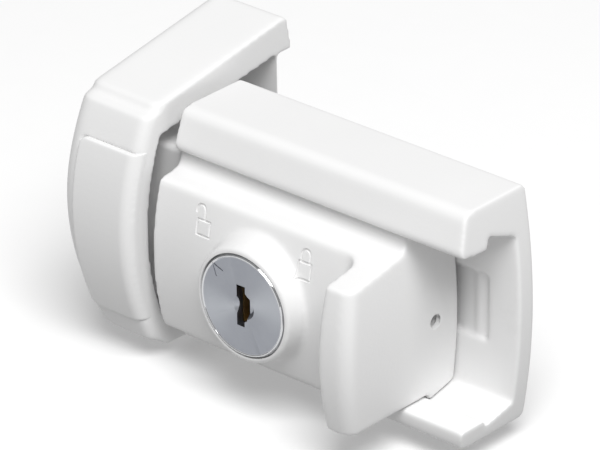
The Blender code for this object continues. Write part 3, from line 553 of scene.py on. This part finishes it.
distances = [0, 0.2, 0.5, 0.9, 1.4, 2.0, 2.6, 3.3, 4.2, 5.0, 6.0, 9.0, 12.0]
distances += [KEEPER_WIDTH - d for d in (2.0, 1.4, 0.9, 0.5, 0.2, 0)]
rings = [[(KEEPER_LOW.x + d, p.x, p.y) for p in keeper_section(d)] for d in distances]
keeper = rolled("keeper_casting", rings)
print("keeper shell:", len(rings), "rings of", len(rings[0]), "points")

# %% [markdown]
# The keeper is hollow behind its front, so that the bolt can reach in. Its cover sits in a
# shallow recess in the front, held by two pegs, and hides two screw holes.

# %% Keeper hollow and recess
SIDE = 3.1                                  # the end wall
REAR_WALL = 3.6
CEILING = KEEPER_TOP - 5.6
INNER_FLOOR = KEEPER_BOTTOM + 4.4
inner_rear = REAR - REAR_WALL
cover_x = (COVER_LOW.x + COVER_HIGH.x) / 2
hollow = [p for p in keeper_front(5.0) if INNER_FLOOR < p.y < CEILING]
hollow += [Vector(p) for p in (
    (hollow[-1].x + 0.4, INNER_FLOOR), (inner_rear, INNER_FLOOR - 1.5),
    (inner_rear, CEILING + RISE * (KEEPER_FRONT - 8 + inner_rear)), (hollow[0].x + 1.0, CEILING),
)]
cut(keeper, push("hollow", hollow, "X", KEEPER_LOW.x + SIDE, KEEPER_RIGHT + CUT))
chamfer = [Vector(p) for p in (
    (KEEPER_RIGHT, inner_rear), (KEEPER_RIGHT - REAR_WALL, REAR),
    (KEEPER_RIGHT - REAR_WALL, REAR + CUT), (KEEPER_RIGHT + CUT, REAR + CUT),
    (KEEPER_RIGHT + CUT, inner_rear),
)]
cut(keeper, push("chamfer", chamfer, "Z", 2 * KEEPER_BOTTOM, hollow[-2].y))
plug_z = (CAP_LOW.z + CAP_HIGH.z) / 2
rib = block("rib", (KEEPER_LOW.x + SIDE - 1, KEEPER_RIGHT - 8), (-KEEPER_FRONT + 3, FRONT + 1.2),
            around(plug_z, 3.5))
weld(keeper, rib)


def cover_outline(gap, past=0.0):
    """The cover's (x, z) outline, grown by gap on its three inner sides."""
    left, low, high = COVER_LOW.x - gap, COVER_LOW.z - gap, COVER_HIGH.z + gap
    end = KEEPER_RIGHT + past
    return rounded([(left, low, 1.4), (end, low, 0), (end, high, 0), (left, high, 1.4)])


def front_layer(name, outer, inner):
    """A layer that follows the crowned front, between two distances behind it."""
    section = keeper_front(outer) + keeper_front(inner)[::-1]
    return push(name, section, "X", KEEPER_LOW.x - CUT, KEEPER_RIGHT + CUT)


FAR_FRONT = -60                             # in front of every piece
PEG_LEVELS = (COVER_LOW.z + 3.5, COVER_HIGH.z - 3.5)
window = push("window", cover_outline(PLAY, CUT), "Y", FAR_FRONT, 0)
cut(keeper, keep(front_layer("recess", -3, 1.3), window))
for z in PEG_LEVELS:
    cut(keeper, rod("peg_hole", cover_x, z, 1.5, (-KEEPER_FRONT, -KEEPER_FRONT + 7.4)))
for z in (COVER_LOW.z + 10.5, COVER_HIGH.z - 10.5):
    depths = (-KEEPER_FRONT - CUT, -KEEPER_FRONT + 8.4)
    cut(keeper, rod("driver_hole", cover_x, z, SCREW_HEAD, depths))
    cut(keeper, countersink(cover_x, z, inner_rear, REAR))
print("keeper hollowed, walls", SIDE, "and", REAR_WALL, "mm")

# %% [markdown]
# The left end draws in towards the foot. The same bend is given to the keeper and to its
# cover, so that the cover still fits its recess.

# %% Keeper softened and bent
DRAW_START = KEEPER_TOP - 12.6              # the left end is straight above this level
FOOT_DRAW = 4.4


def draw_in(points):
    """Moves the left end inwards, more and more towards the foot."""
    share = np.clip((KEEPER_RIGHT - points[:, 0]) / KEEPER_WIDTH, 0, 1)
    depth = np.clip(DRAW_START - points[:, 2], 0, None) / (DRAW_START - KEEPER_BOTTOM)
    points[:, 0] += FOOT_DRAW * share * depth ** 2


soften(keeper, GRAIN, 8, draw_in)
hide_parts("keeper_housing")
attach(keeper, "base")

# %% [markdown]
# The cover is a thin crowned plate with soft edges and two pegs behind it. Its right edge
# rounds over as the keeper's own edge does: a bend turns it back, before the bend that it
# shares with the keeper.

# %% Keeper cover
PROUD = 0.55                                # how far it stands out of the keeper's front
EDGE = 2.2                                  # radius of its right edge
window = push("window", cover_outline(0.22), "Y", FAR_FRONT, 0)
cover = keep(front_layer("keeper_cover_plate", -PROUD, 1.0), window)
for z in PEG_LEVELS:
    peg = rod("peg", cover_x, z, 1.2, (-KEEPER_FRONT, -KEEPER_FRONT + 5.4))
    behind = keeper_front(0.5) + [Vector((0, KEEPER_BOTTOM)), Vector((0, KEEPER_TOP))]
    weld(cover, keep(peg, push("behind", behind, "X", KEEPER_LOW.x, KEEPER_RIGHT)))


def bend_cover(points):
    """Rounds the cover's right edge backwards, then bends it as the keeper is bent."""
    past = np.clip(EDGE - (KEEPER_RIGHT - points[:, 0]), 0, EDGE - 0.05)
    points[:, 1] += EDGE - np.sqrt(EDGE ** 2 - past ** 2)
    draw_in(points)


soften(cover, 0.25, 5, bend_cover)
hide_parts("keeper_cover")
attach(cover, "base")

# %% [markdown]
# ## The slider
#
# The slider is one casting: a crowned block whose flanges run behind the base's lips, the
# bolt tongue at its left end, the finger grip at its right end and the collar round the
# plug. Each is blocked out as its own solid and welded on, and the softening then turns
# their joints into fillets.

# %% Slider block and tongue
BACK = SLIDER_HIGH.y
HOOK = 0.7                                  # from the lips' levels to the flanges' back edges
BLOCK_LEFT = LEFT - 0.1
BLOCK_RIGHT = -LEFT - TRAVEL - PLAY
BOTTOM = LEDGE + PLAY
SHOULDER = LIP_UNDER - PLAY
BLOCK_TOP = SHOULDER - 3.3
FACE = FRONT - 6.5
CROWN = 2.2
SLOPE = 0.165
face_edge = FACE + CROWN
root = FRONT + 0.5
crown_line = [(p.x, p.y, 0) for p in bow((face_edge, BOTTOM), (face_edge, BLOCK_TOP), CROWN, 16)]
slider_section = rounded([
    (face_edge, BLOCK_TOP, 1.3), (root, BLOCK_TOP + SLOPE * (root - face_edge), 1.8),
    (root + 0.8, SHOULDER, 0.4), (LIP_BACK, SHOULDER - 0.1, 0.2),
    (LIP_BACK + 1.0, LIP_UNDER + 1.6, 0.3), (BACK, LIP_UNDER - HOOK, 0.5),
    (BACK, LEDGE + HOOK, 0.5), (LIP_BACK + 0.8, LEDGE - 1.0, 0.3), (LIP_BACK + PLAY, BOTTOM, 0.2),
    (face_edge, BOTTOM, 1.0), *crown_line,
])
slider = push("slider_casting", slider_section, "X", BLOCK_LEFT, BLOCK_RIGHT)
tongue = rounded([(FRONT + 1.8, BOTTOM + 0.2, 0.8), (BACK, BOTTOM + 0.2, 0.8),
                  (BACK, SHOULDER - 0.3, 0.8), (FRONT + 1.8, SHOULDER - 0.3, 0.8)])
weld(slider, push("tongue", tongue, "X", SLIDER_LOW.x, BLOCK_LEFT + 1))
print("slider block", round(BLOCK_RIGHT - BLOCK_LEFT, 1), "mm long")

# %% [markdown]
# The grip follows the crown of the face that it grows out of. Its rings are level slices:
# each starts inside the block, sweeps out in a hollow fillet, and ends in a rounded tip.

# %% Slider grip
GRIP_LEFT = BLOCK_RIGHT - 5.2
GRIP_TIP = SLIDER_LOW.y
GRIP_BOW = 0.4                              # how far its left side bows out at mid-height
TIP_CROWN = 1.8
FILLET = 3.6
GRIP_LEVELS = 24


def grip_slice(share):
    """The grip's (x, y, z) outline at this share of its height."""
    bulge = 4 * share * (1 - share)
    left = GRIP_LEFT - GRIP_BOW * bulge
    face, tip = face_edge - CROWN * bulge, GRIP_TIP + TIP_CROWN * (1 - bulge)
    plan = rounded([
        (BLOCK_RIGHT, face + 2.5, 0), (left - FILLET - 1.2, face + 2.5, 0),
        (left - FILLET - 1.2, face + 0.15, 0),
        (left, face, FILLET), (left, tip, 0.6), (BLOCK_RIGHT, tip, 2.2),
    ], steps=8)
    points = []
    for x, y in plan:
        highest = BLOCK_TOP + SLOPE * (y - face_edge)
        points.append((x, y, BOTTOM + share * (highest - BOTTOM)))
    return points


slices = [grip_slice(level / GRIP_LEVELS) for level in range(GRIP_LEVELS + 1)]
weld(slider, rolled("grip", slices))
print("grip stands", round(FACE - GRIP_TIP, 1), "mm out of the face")

# %% [markdown]
# The collar is turned. It flares where it meets the face, as a casting does so that the
# metal flows, and its rim is a thin wall round the chromed cap. Inside, the slider is
# hollow, with bosses for its plate screws, for the lock cylinder and for the plunger.

# %% Slider collar and hollow
plug = ((CAP_LOW.x + CAP_HIGH.x) / 2, plug_z)
PLUG_FACE = CAP_LOW.y
CAP_RADIUS = (CAP_HIGH.x - CAP_LOW.x) / 2
RIM = CAP_RADIUS + 0.95
collar = [
    (0, FACE + 3), (RIM + 1.7, FACE + 3), (RIM + 1.5, FACE + 1.5), (RIM + 1.0, FACE + 0.4),
    (RIM + 0.65, FACE - 0.5), (RIM + 0.35, FACE - 1.8), (RIM + 0.1, PLUG_FACE + 0.5),
    (RIM - 0.2, PLUG_FACE + 0.1), (0, PLUG_FACE + 0.1),
]
weld(slider, turned("collar", collar, plug))

SLIDER_WALL = 2.4
REBATE = 0.9                                # the ledge that the back plate lies on
HOLLOW_FRONT = FACE + CROWN + 2.7
body_radius = (BODY_HIGH.x - BODY_LOW.x) / 2
core_back = BODY_HIGH.y
bar_back = BAR_HIGH.y
sides = (BLOCK_LEFT + SLIDER_WALL, BLOCK_RIGHT - SLIDER_WALL)
levels = (BOTTOM + SLIDER_WALL, BLOCK_TOP - SLIDER_WALL)
boss_depths = (HOLLOW_FRONT - CUT, bar_back)
cavity = block("cavity", sides, (HOLLOW_FRONT, BACK + CUT), levels)
cut(cavity, rod("boss", *plug, body_radius + PLAY + 1.9, (HOLLOW_FRONT - CUT, core_back)))
cut(cavity, rod("plunger_boss", plunger_x, plunger_z, 3.4, boss_depths, 24))
grub_low, grub_high = corners("cylinder_grub_screw")
grub_y = (grub_low.y + grub_high.y) / 2
cut(cavity, block("grub_rib", (plug[0] + body_radius, sides[1] + CUT),
                  (grub_low.y - 2, BAR_LOW.y - PLAY - 0.8), around(plug_z, 3.35)))
for number in range(1, 5):
    screw_low, screw_high = corners(f"back_plate_screw_{number}")
    middle = (screw_low + screw_high) / 2
    cut(cavity, rod("screw_boss", middle.x, middle.z, 2.7, boss_depths, 24))
weld(cavity, block("rebate", (sides[0] - REBATE, sides[1] + REBATE), (bar_back, BACK + 2),
                   (levels[0] - REBATE, levels[1] + REBATE)))
cut(slider, cavity)
cut(slider, block("bar_slot", (BAR_LOW.x - BAR_PLAY, BAR_HIGH.x + BAR_PLAY),
                  (BAR_LOW.y - BAR_PLAY, BAR_HIGH.y + BAR_PLAY), (levels[1] - CUT, TOP)))
plunger_depths = (bar_back - 9.4, bar_back + CUT)
cut(slider, rod("plunger_hole", plunger_x, plunger_z, 2.1, plunger_depths, 32))
half_height = (BLOCK_TOP - BOTTOM) / 2 + 2.5
soften(slider, GRAIN, 7, bow_right_end(10, BLOCK_RIGHT, SLIDER_HIGH.x - BLOCK_RIGHT, half_height,
                                       (BLOCK_TOP + BOTTOM) / 2))

# %% [markdown]
# What a drill or a tap makes in the real casting stays crisp, so it is cut after the
# softening: the stepped bore for the cylinder and its cap, and the tapped hole in the right
# face. Its thread is modelled as rings, which look the same at this size.

# %% Bore and tapped hole
seat = CAP_HIGH.y + 0.2
cap_bore, body_bore = CAP_RADIUS + 0.14, body_radius + PLAY
bore = [(0, PLUG_FACE - CUT), (cap_bore, PLUG_FACE - CUT), (cap_bore, seat), (body_bore, seat),
        (body_bore, core_back + CUT), (0, core_back + CUT)]
cut(slider, turned("bore", bore, plug, 96))

PITCH, CREST, THREAD_ROOT = 0.9, 1.3, 1.9
thread_start, thread_end = plug[0] + body_radius - 2, SLIDER_HIGH.x + CUT
count = int((thread_end - thread_start) / PITCH)
thread = [(0, 0)]
for turn_number in range(count):
    thread += [(CREST, turn_number * PITCH), (THREAD_ROOT, (turn_number + 0.5) * PITCH)]
thread += [(CREST, count * PITCH), (0, count * PITCH)]
tap = turned("tap", thread, (0, 0), 32)
points = np.empty(len(tap.data.vertices) * 3)
tap.data.vertices.foreach_get("co", points)
points = points.reshape(-1, 3) / MM
lying = np.stack((thread_start + points[:, 1], grub_y + points[:, 0], plug_z + points[:, 2]),
                 axis=1)
tap.data.vertices.foreach_set("co", (lying * MM).ravel())
cut(slider, tidy_faces(tap))
print("bore", round(2 * cap_bore, 1), "mm, tapped hole with", count, "threads")

# %% [markdown]
# Two small padlocks are engraved in the face, open above the unlocked position and closed
# above the locked one. A milling cutter would follow a line, so each line is a thin tube
# along a path on the crowned face, and the tube is cut away.

# %% Engraved padlocks
LINE = 0.27                                 # half the width of an engraved line


def on_face(piece, x, z):
    """The point of this piece that is seen first from the front at (x, z), in metres."""
    hit, place, _, _ = piece.ray_cast(Vector((x, FAR_FRONT, z)) * MM, Vector((0, 1, 0)))
    return place if hit else Vector((x, 0, z)) * MM


def engraved(piece, path, closed=False, radius=LINE):
    """A tube along an (x, z) path on a piece's front, with a point every half millimetre."""
    ends = path + path[:1] if closed else path
    places = []
    for here, beyond in zip(ends, ends[1:]):
        here, beyond = Vector(here), Vector(beyond)
        count = max(1, round((beyond - here).length / 0.5))
        places += [here.lerp(beyond, step / count) for step in range(count)]
    if not closed:
        places.append(Vector(ends[-1]))
    bpy.context.view_layer.update()
    places = [on_face(piece, *place) for place in places]
    data = bpy.data.curves.new("line", "CURVE")
    data.dimensions = "3D"
    data.bevel_depth = radius * MM
    data.bevel_resolution = 2
    data.use_fill_caps = not closed
    spline = data.splines.new("POLY")
    spline.use_cyclic_u = closed
    spline.points.add(len(places) - 1)
    for point, place in zip(spline.points, places):
        point.co = (*place, 1)
    tube = bpy.data.objects.new("line", data)
    bpy.context.scene.collection.objects.link(tube)
    alone(tube)
    bpy.ops.object.convert(target="MESH")
    return tidy_faces(bpy.context.object)


def padlock(x, z, wide, tall, is_open):
    """Engraves a padlock whose body has its lower left corner at (x, z)."""
    high = z + tall
    body = [(x, z), (x + wide, z), (x + wide, high), (x, high)]
    middle, radius = x + wide / 2, wide * 0.34
    angles = [math.pi * step / 8 for step in range(9)]
    arch = [(middle + radius * math.cos(a), high + 1.3 + radius * math.sin(a)) for a in angles]
    if is_open:
        arch = [(px - radius * 0.9, pz + 0.3) for px, pz in arch]
    left_foot = high + (1.0 if is_open else 0)
    shackle = engraved(slider, [(arch[0][0], high), *arch, (arch[-1][0], left_foot)])
    cut(slider, weld(engraved(slider, body, True), shackle))


padlock(-21.9, 3.9, 2.9, 2.7, True)
padlock(1.2, 3.3, 2.8, 3.0, False)
finish_edges(slider, 40)
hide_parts("slider_housing")
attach(slider, "slider")
print("slider has", len(slider.data.polygons), "faces")

# %% [markdown]
# ## The plug's cap
#
# The chromed cap is turned with a bright chamfer round a slightly lower satin face. The
# keyway, the round dimple beside it and the pointer mark are then cut, and a fine bevel
# catches the light along their edges.

# %% Plug cap
satin = PLUG_FACE + 0.1
cap = turned("plug_cap_plate", [
    (0, satin), (CAP_RADIUS - 0.62, satin), (CAP_RADIUS - 0.5, PLUG_FACE),
    (CAP_RADIUS - 0.34, PLUG_FACE + 0.02), (CAP_RADIUS, PLUG_FACE + 0.5),
    (CAP_RADIUS, CAP_HIGH.y), (0, CAP_HIGH.y),
], plug, 96)


def from_plug(*places):
    """These (x, z) places, measured from the plug's axis."""
    return [Vector((plug[0] + x, plug[1] + z)) for x, z in places]


WIDE, TALL = 1.15, 3.85                     # half the keyway
DIMPLE, DIMPLE_DEPTH = 2.3, 0.8
keyway = from_plug(
    (-WIDE, -TALL), (0.55, -TALL), (0.55, -2.9), (WIDE, -2.5),
    (WIDE, 2.3), (0.75, 2.6), (0.75, TALL), (-WIDE, TALL),
)
dimple = [
    (0, satin - CUT), (DIMPLE, satin - CUT), (DIMPLE, satin),
    (DIMPLE - DIMPLE_DEPTH, satin + DIMPLE_DEPTH), (0, satin + DIMPLE_DEPTH),
]
cut(cap, turned("dimple", dimple, (plug[0] + 0.45, plug[1]), 40))
cut(cap, push("keyway", keyway, "Y", PLUG_FACE - CUT, CAP_HIGH.y + CUT))
pointer = [tuple(place) for place in from_plug((-5.7, 3.9), (-6.5, 6.2), (-4.2, 5.4))]
cut(cap, engraved(cap, pointer, radius=0.16))
modify(cap, "BEVEL", width=0.07 * MM, segments=2, limit_method="ANGLE",
       angle_limit=math.radians(35))
finish_edges(cap, 30)
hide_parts("plug_cap")
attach(cap, "plug")
print("cap has", len(cap.data.polygons), "faces")

# %% [markdown]
# ## Finishes
#
# A finish is a node tree. Nodes for sums would fill the screen, so `Value` wraps a socket
# and lets Python's own operators add the Math nodes. Colours don't go through it, because a
# Math node turns a colour grey: they go through a Mix node.

# %% Shader arithmetic


class Value:
    """A shader value that Python's operators work on. Each operator adds one Math node."""

    def __init__(self, finish, socket):
        self.finish, self.socket = finish, socket

    def maths(self, operation, *numbers):
        return self.finish.add("ShaderNodeMath", 0, {"operation": operation}, dict(enumerate(numbers)))

    def __add__(self, other): return self.maths("ADD", self, other)
    def __radd__(self, other): return self.maths("ADD", other, self)
    def __sub__(self, other): return self.maths("SUBTRACT", self, other)
    def __rsub__(self, other): return self.maths("SUBTRACT", other, self)
    def __mul__(self, other): return self.maths("MULTIPLY", self, other)
    def __rmul__(self, other): return self.maths("MULTIPLY", other, self)
    def __truediv__(self, other): return self.maths("DIVIDE", self, other)
    def __rtruediv__(self, other): return self.maths("DIVIDE", other, self)
    def __pow__(self, other): return self.maths("POWER", self, other)


class Finish:
    """A Principled material whose nodes are added by one method."""

    def __init__(self, name, **constants):
        self.material = bpy.data.materials.new(name)
        self.material.use_nodes = True
        self.tree = self.material.node_tree
        self.shader = self.tree.nodes["Principled BSDF"]
        for socket, value in constants.items():
            self.shader.inputs[socket.replace("_", " ")].default_value = value
        self.place = self.add("ShaderNodeTexCoord", "Object")

    def put(self, socket, value):
        if isinstance(value, Value):
            self.tree.links.new(value.socket, socket)
        else:
            socket.default_value = value

    def add(self, kind, output, settings=None, values=None):
        """Adds a node, sets it and fills its sockets. It gives the output asked for."""
        node = self.tree.nodes.new(kind)
        for setting, value in (settings or {}).items():
            setattr(node, setting, value)
        for socket, value in (values or {}).items():
            self.put(node.inputs[socket], value)
        return Value(self, node.outputs[output])

    def noise(self, size, detail=2.0, roughness=0.5, place=None):
        """Cloudy variation from 0 to 1, whose blobs are about this many millimetres wide."""
        return self.add("ShaderNodeTexNoise", "Fac", None, {
            "Vector": place or self.place, "Scale": 1 / (size * MM),
            "Detail": detail, "Roughness": roughness})

    def ramp(self, value, low, high):
        """Spreads the stretch between low and high over 0 to 1."""
        return self.add("ShaderNodeMapRange", 0, {"interpolation_type": "SMOOTHSTEP"}, {
            "Value": value, "From Min": low, "From Max": high})

    def blend(self, share, first, second):
        return self.add("ShaderNodeMix", 2, {"data_type": "RGBA"}, {0: share, 6: first, 7: second})

    def emboss(self, height, depth, strength):
        """A bump that is this many millimetres deep."""
        return self.add("ShaderNodeBump", 0, None, {
            "Height": height, "Distance": depth * MM, "Strength": strength})

    def set(self, **links):
        for socket, value in links.items():
            self.put(self.shader.inputs[socket.replace("_", " ")], value)
        return self


def grey(shade, warmth=0.0):
    return (shade + warmth, shade, shade - warmth, 1)



# %% [markdown]
# The castings are powder coated. Under a lens that coat is not smooth: the powder melts into
# a shallow orange peel, about half a millimetre across, and it is a little thinner and
# glossier on outer edges, where the melt draws back, and duller in corners. Its colour is
# also painted lighter on outer edges, a painted highlight, and darker in inner corners, a
# painted shade. Handling leaves faint grey smudges. Pointiness tells edges from corners on an
# evenly divided mesh.

# %% White powder coat


def powder_coat(name, lighter):
    finish = Finish(name, IOR=1.5)
    point = finish.add("ShaderNodeNewGeometry", "Pointiness")
    edge = finish.ramp(point, 0.51, 0.56)
    corner = 1 - finish.ramp(point, 0.42, 0.49)
    cloud = finish.noise(14, 3)
    spots = finish.ramp(finish.noise(5, 4, 0.65), 0.55, 0.8)
    smudge = spots * finish.ramp(finish.noise(22, 2), 0.5, 0.7)
    peel = finish.noise(0.55, 2)
    grain = finish.noise(0.14, 3, 0.7)
    coat = finish.blend(cloud, grey(0.855 + lighter), grey(0.885 + lighter, 0.002))
    # Painted highlight: outer edges are made lighter.
    coat = finish.blend(edge * 0.35, coat, grey(0.93))
    # Painted shade: inner corners are made darker.
    coat = finish.blend(corner * 0.22, coat, grey(0.62, 0.006))
    coat = finish.blend(smudge * 0.10, coat, grey(0.6, 0.004))
    rough = 0.40 + cloud * 0.06 + grain * 0.07 - edge * 0.12 + corner * 0.12 + smudge * 0.1
    relief = finish.emboss(peel + grain * 0.25, 0.030, 0.55)
    return finish.set(Base_Color=coat, Roughness=rough, Normal=relief).material


COATED = ((base, 0.0), (keeper, 0.0), (cover, -0.012), (slider, 0.004))
for piece, lighter in COATED:
    piece.data.materials.clear()
    piece.data.materials.append(powder_coat("powder_coat_" + piece.name, lighter))
print("powder coat on", len(COATED), "castings")

# %% [markdown]
# The cap is chromed over fine lathe marks. The marks run round the plug's axis, so they are
# drawn from each point's distance to that axis. Such marks spread a highlight into a bow tie,
# and that highlight is painted into the colour: two lighter wings, set by each point's
# direction round the axis. The chamfer is polished bright, and wear from keys gathers round
# the keyway.

# %% Satin chrome
chrome = Finish("satin_chrome", Metallic=1.0)
spot = chrome.add("ShaderNodeSeparateXYZ", 0, None, {0: chrome.place})
split = spot.socket.node
across_x = Value(chrome, split.outputs[0]) - plug[0] * MM
across_z = Value(chrome, split.outputs[2]) - plug[1] * MM
from_axis = (across_x * across_x + across_z * across_z) ** 0.5
satin_edge = ((CAP_RADIUS - 0.72) * MM, (CAP_RADIUS - 0.58) * MM)
inner = 1 - chrome.ramp(from_axis, *satin_edge)
rings_at = chrome.add("ShaderNodeCombineXYZ", 0, None, {0: from_axis, 1: 0.0, 2: 0.0})
lathe_marks = chrome.noise(0.09, 3, 0.7, rings_at)
angle = chrome.add("ShaderNodeMath", 0, {"operation": "ARCTAN2"}, {0: across_z, 1: across_x})
highlight_wings = chrome.add("ShaderNodeMath", 0, {"operation": "COSINE"}, {0: angle * 2 - 0.7})
painted_highlight = ((highlight_wings + 1) * 0.5) ** 4.0
haze = chrome.noise(3.5, 3)
near_keyway = 1 - chrome.ramp(from_axis, 3.4 * MM, 6.5 * MM)
key_wear = chrome.ramp(chrome.noise(0.5, 4, 0.7), 0.55, 0.7) * near_keyway
plate = chrome.blend(haze, (0.275, 0.287, 0.318, 1), (0.325, 0.338, 0.368, 1))
# Painted highlight: the bow tie's two wings are lighter colour.
plate = chrome.blend(painted_highlight * inner * 0.5, plate, (0.50, 0.52, 0.55, 1))
plate = chrome.blend((1 - inner) * 0.7, plate, grey(0.74, -0.004))
plate = chrome.blend(key_wear * 0.25, plate, grey(0.42))
chrome_rough = 0.07 + inner * (0.20 + lathe_marks * 0.10 + haze * 0.05) + key_wear * 0.12
chrome_relief = chrome.emboss(lathe_marks * inner, 0.006, 0.5)
chrome.set(Base_Color=plate, Roughness=chrome_rough, Normal=chrome_relief)
cap.data.materials.clear()
cap.data.materials.append(chrome.material)
print("chrome cap, bright from radius", round(CAP_RADIUS - 0.6, 2), "mm outwards")

# %% [markdown]
# The pieces inside keep the CAD model's shape, because little of them shows. They still get
# real finishes: turned brass with darker tarnish, zinc plated steel with its faint
# spangle, and natural nylon, which is a little waxy.

# %% Inner metals and nylon


def turned_brass(name, tarnish):
    finish = Finish(name, Metallic=1.0)
    cloud = finish.ramp(finish.noise(2.2, 4, 0.6), 0.35, 0.75)
    marks = finish.noise(0.12, 2, 0.6)
    metal = finish.blend(cloud * tarnish, (0.80, 0.60, 0.30, 1), (0.42, 0.27, 0.11, 1))
    rough = 0.26 + cloud * 0.16 + marks * 0.1
    relief = finish.emboss(marks, 0.008, 0.5)
    return finish.set(Base_Color=metal, Roughness=rough, Normal=relief).material


def zinc_steel(name, bright):
    finish = Finish(name, Metallic=1.0)
    spangle = finish.add("ShaderNodeTexVoronoi", "Color", None, {
        "Vector": finish.place, "Scale": 1 / (0.9 * MM)})
    flake = finish.add("ShaderNodeSeparateColor", 0, None, {0: spangle})
    stain = finish.ramp(finish.noise(3, 4, 0.6), 0.5, 0.8)
    metal = finish.blend(flake, grey(0.50 * bright, -0.01), grey(0.64 * bright, -0.015))
    metal = finish.blend(stain * 0.3, metal, (0.40, 0.37, 0.32, 1))
    rough = 0.30 + flake * 0.10 + stain * 0.18
    relief = finish.emboss(flake, 0.004, 0.4)
    return finish.set(Base_Color=metal, Roughness=rough, Normal=relief).material


def natural_nylon(name):
    finish = Finish(name, IOR=1.53, Subsurface_Weight=0.15)
    cloud = finish.noise(1.5, 3)
    resin = finish.blend(cloud, (0.80, 0.77, 0.69, 1), (0.86, 0.83, 0.76, 1))
    rough = 0.42 + cloud * 0.12
    relief = finish.emboss(finish.noise(0.3), 0.01, 0.4)
    return finish.set(Base_Color=resin, Roughness=rough, Normal=relief).material


nodes = frame["nodes"]
FINISHES = {
    turned_brass("brass_cylinder", 0.5): ["cylinder_body", "plug_core"],
    turned_brass("brass_wafers", 0.25): [f"wafer_{n}" for n in range(1, 5)],
    zinc_steel("zinc_plate", 1.0): ["slider_back_plate", "locking_bar", "drive_cam"],
    zinc_steel("screw_steel", 0.85): [
        "travel_stop_pin", "cylinder_grub_screw", "plunger_spring",
        *(f"back_plate_screw_{n}" for n in range(1, 5)),
        *(f"wafer_spring_{n}" for n in range(1, 5)),
    ],
    natural_nylon("natural_nylon"): ["friction_plunger"],
}
for material, names in FINISHES.items():
    for name in names:
        for material_slot in nodes[name].material_slots:
            material_slot.material = material
print("finishes on", sum(len(names) for names in FINISHES.values()), "inner pieces")

# %% [markdown]
# The floor is matt white paper, with just enough variation not to look painted on. It is
# faintly lit from below, as on a light table, which lifts the shadows on it.

# %% Paper floor
paper = Finish("paper", Roughness=0.9, Emission_Color=grey(1.0), Emission_Strength=0.10)
fibre = paper.noise(6, 3)
paper.set(Base_Color=paper.blend(fibre, grey(0.90), grey(0.915)))
floor.data.materials.append(paper.material)
print("paper floor")
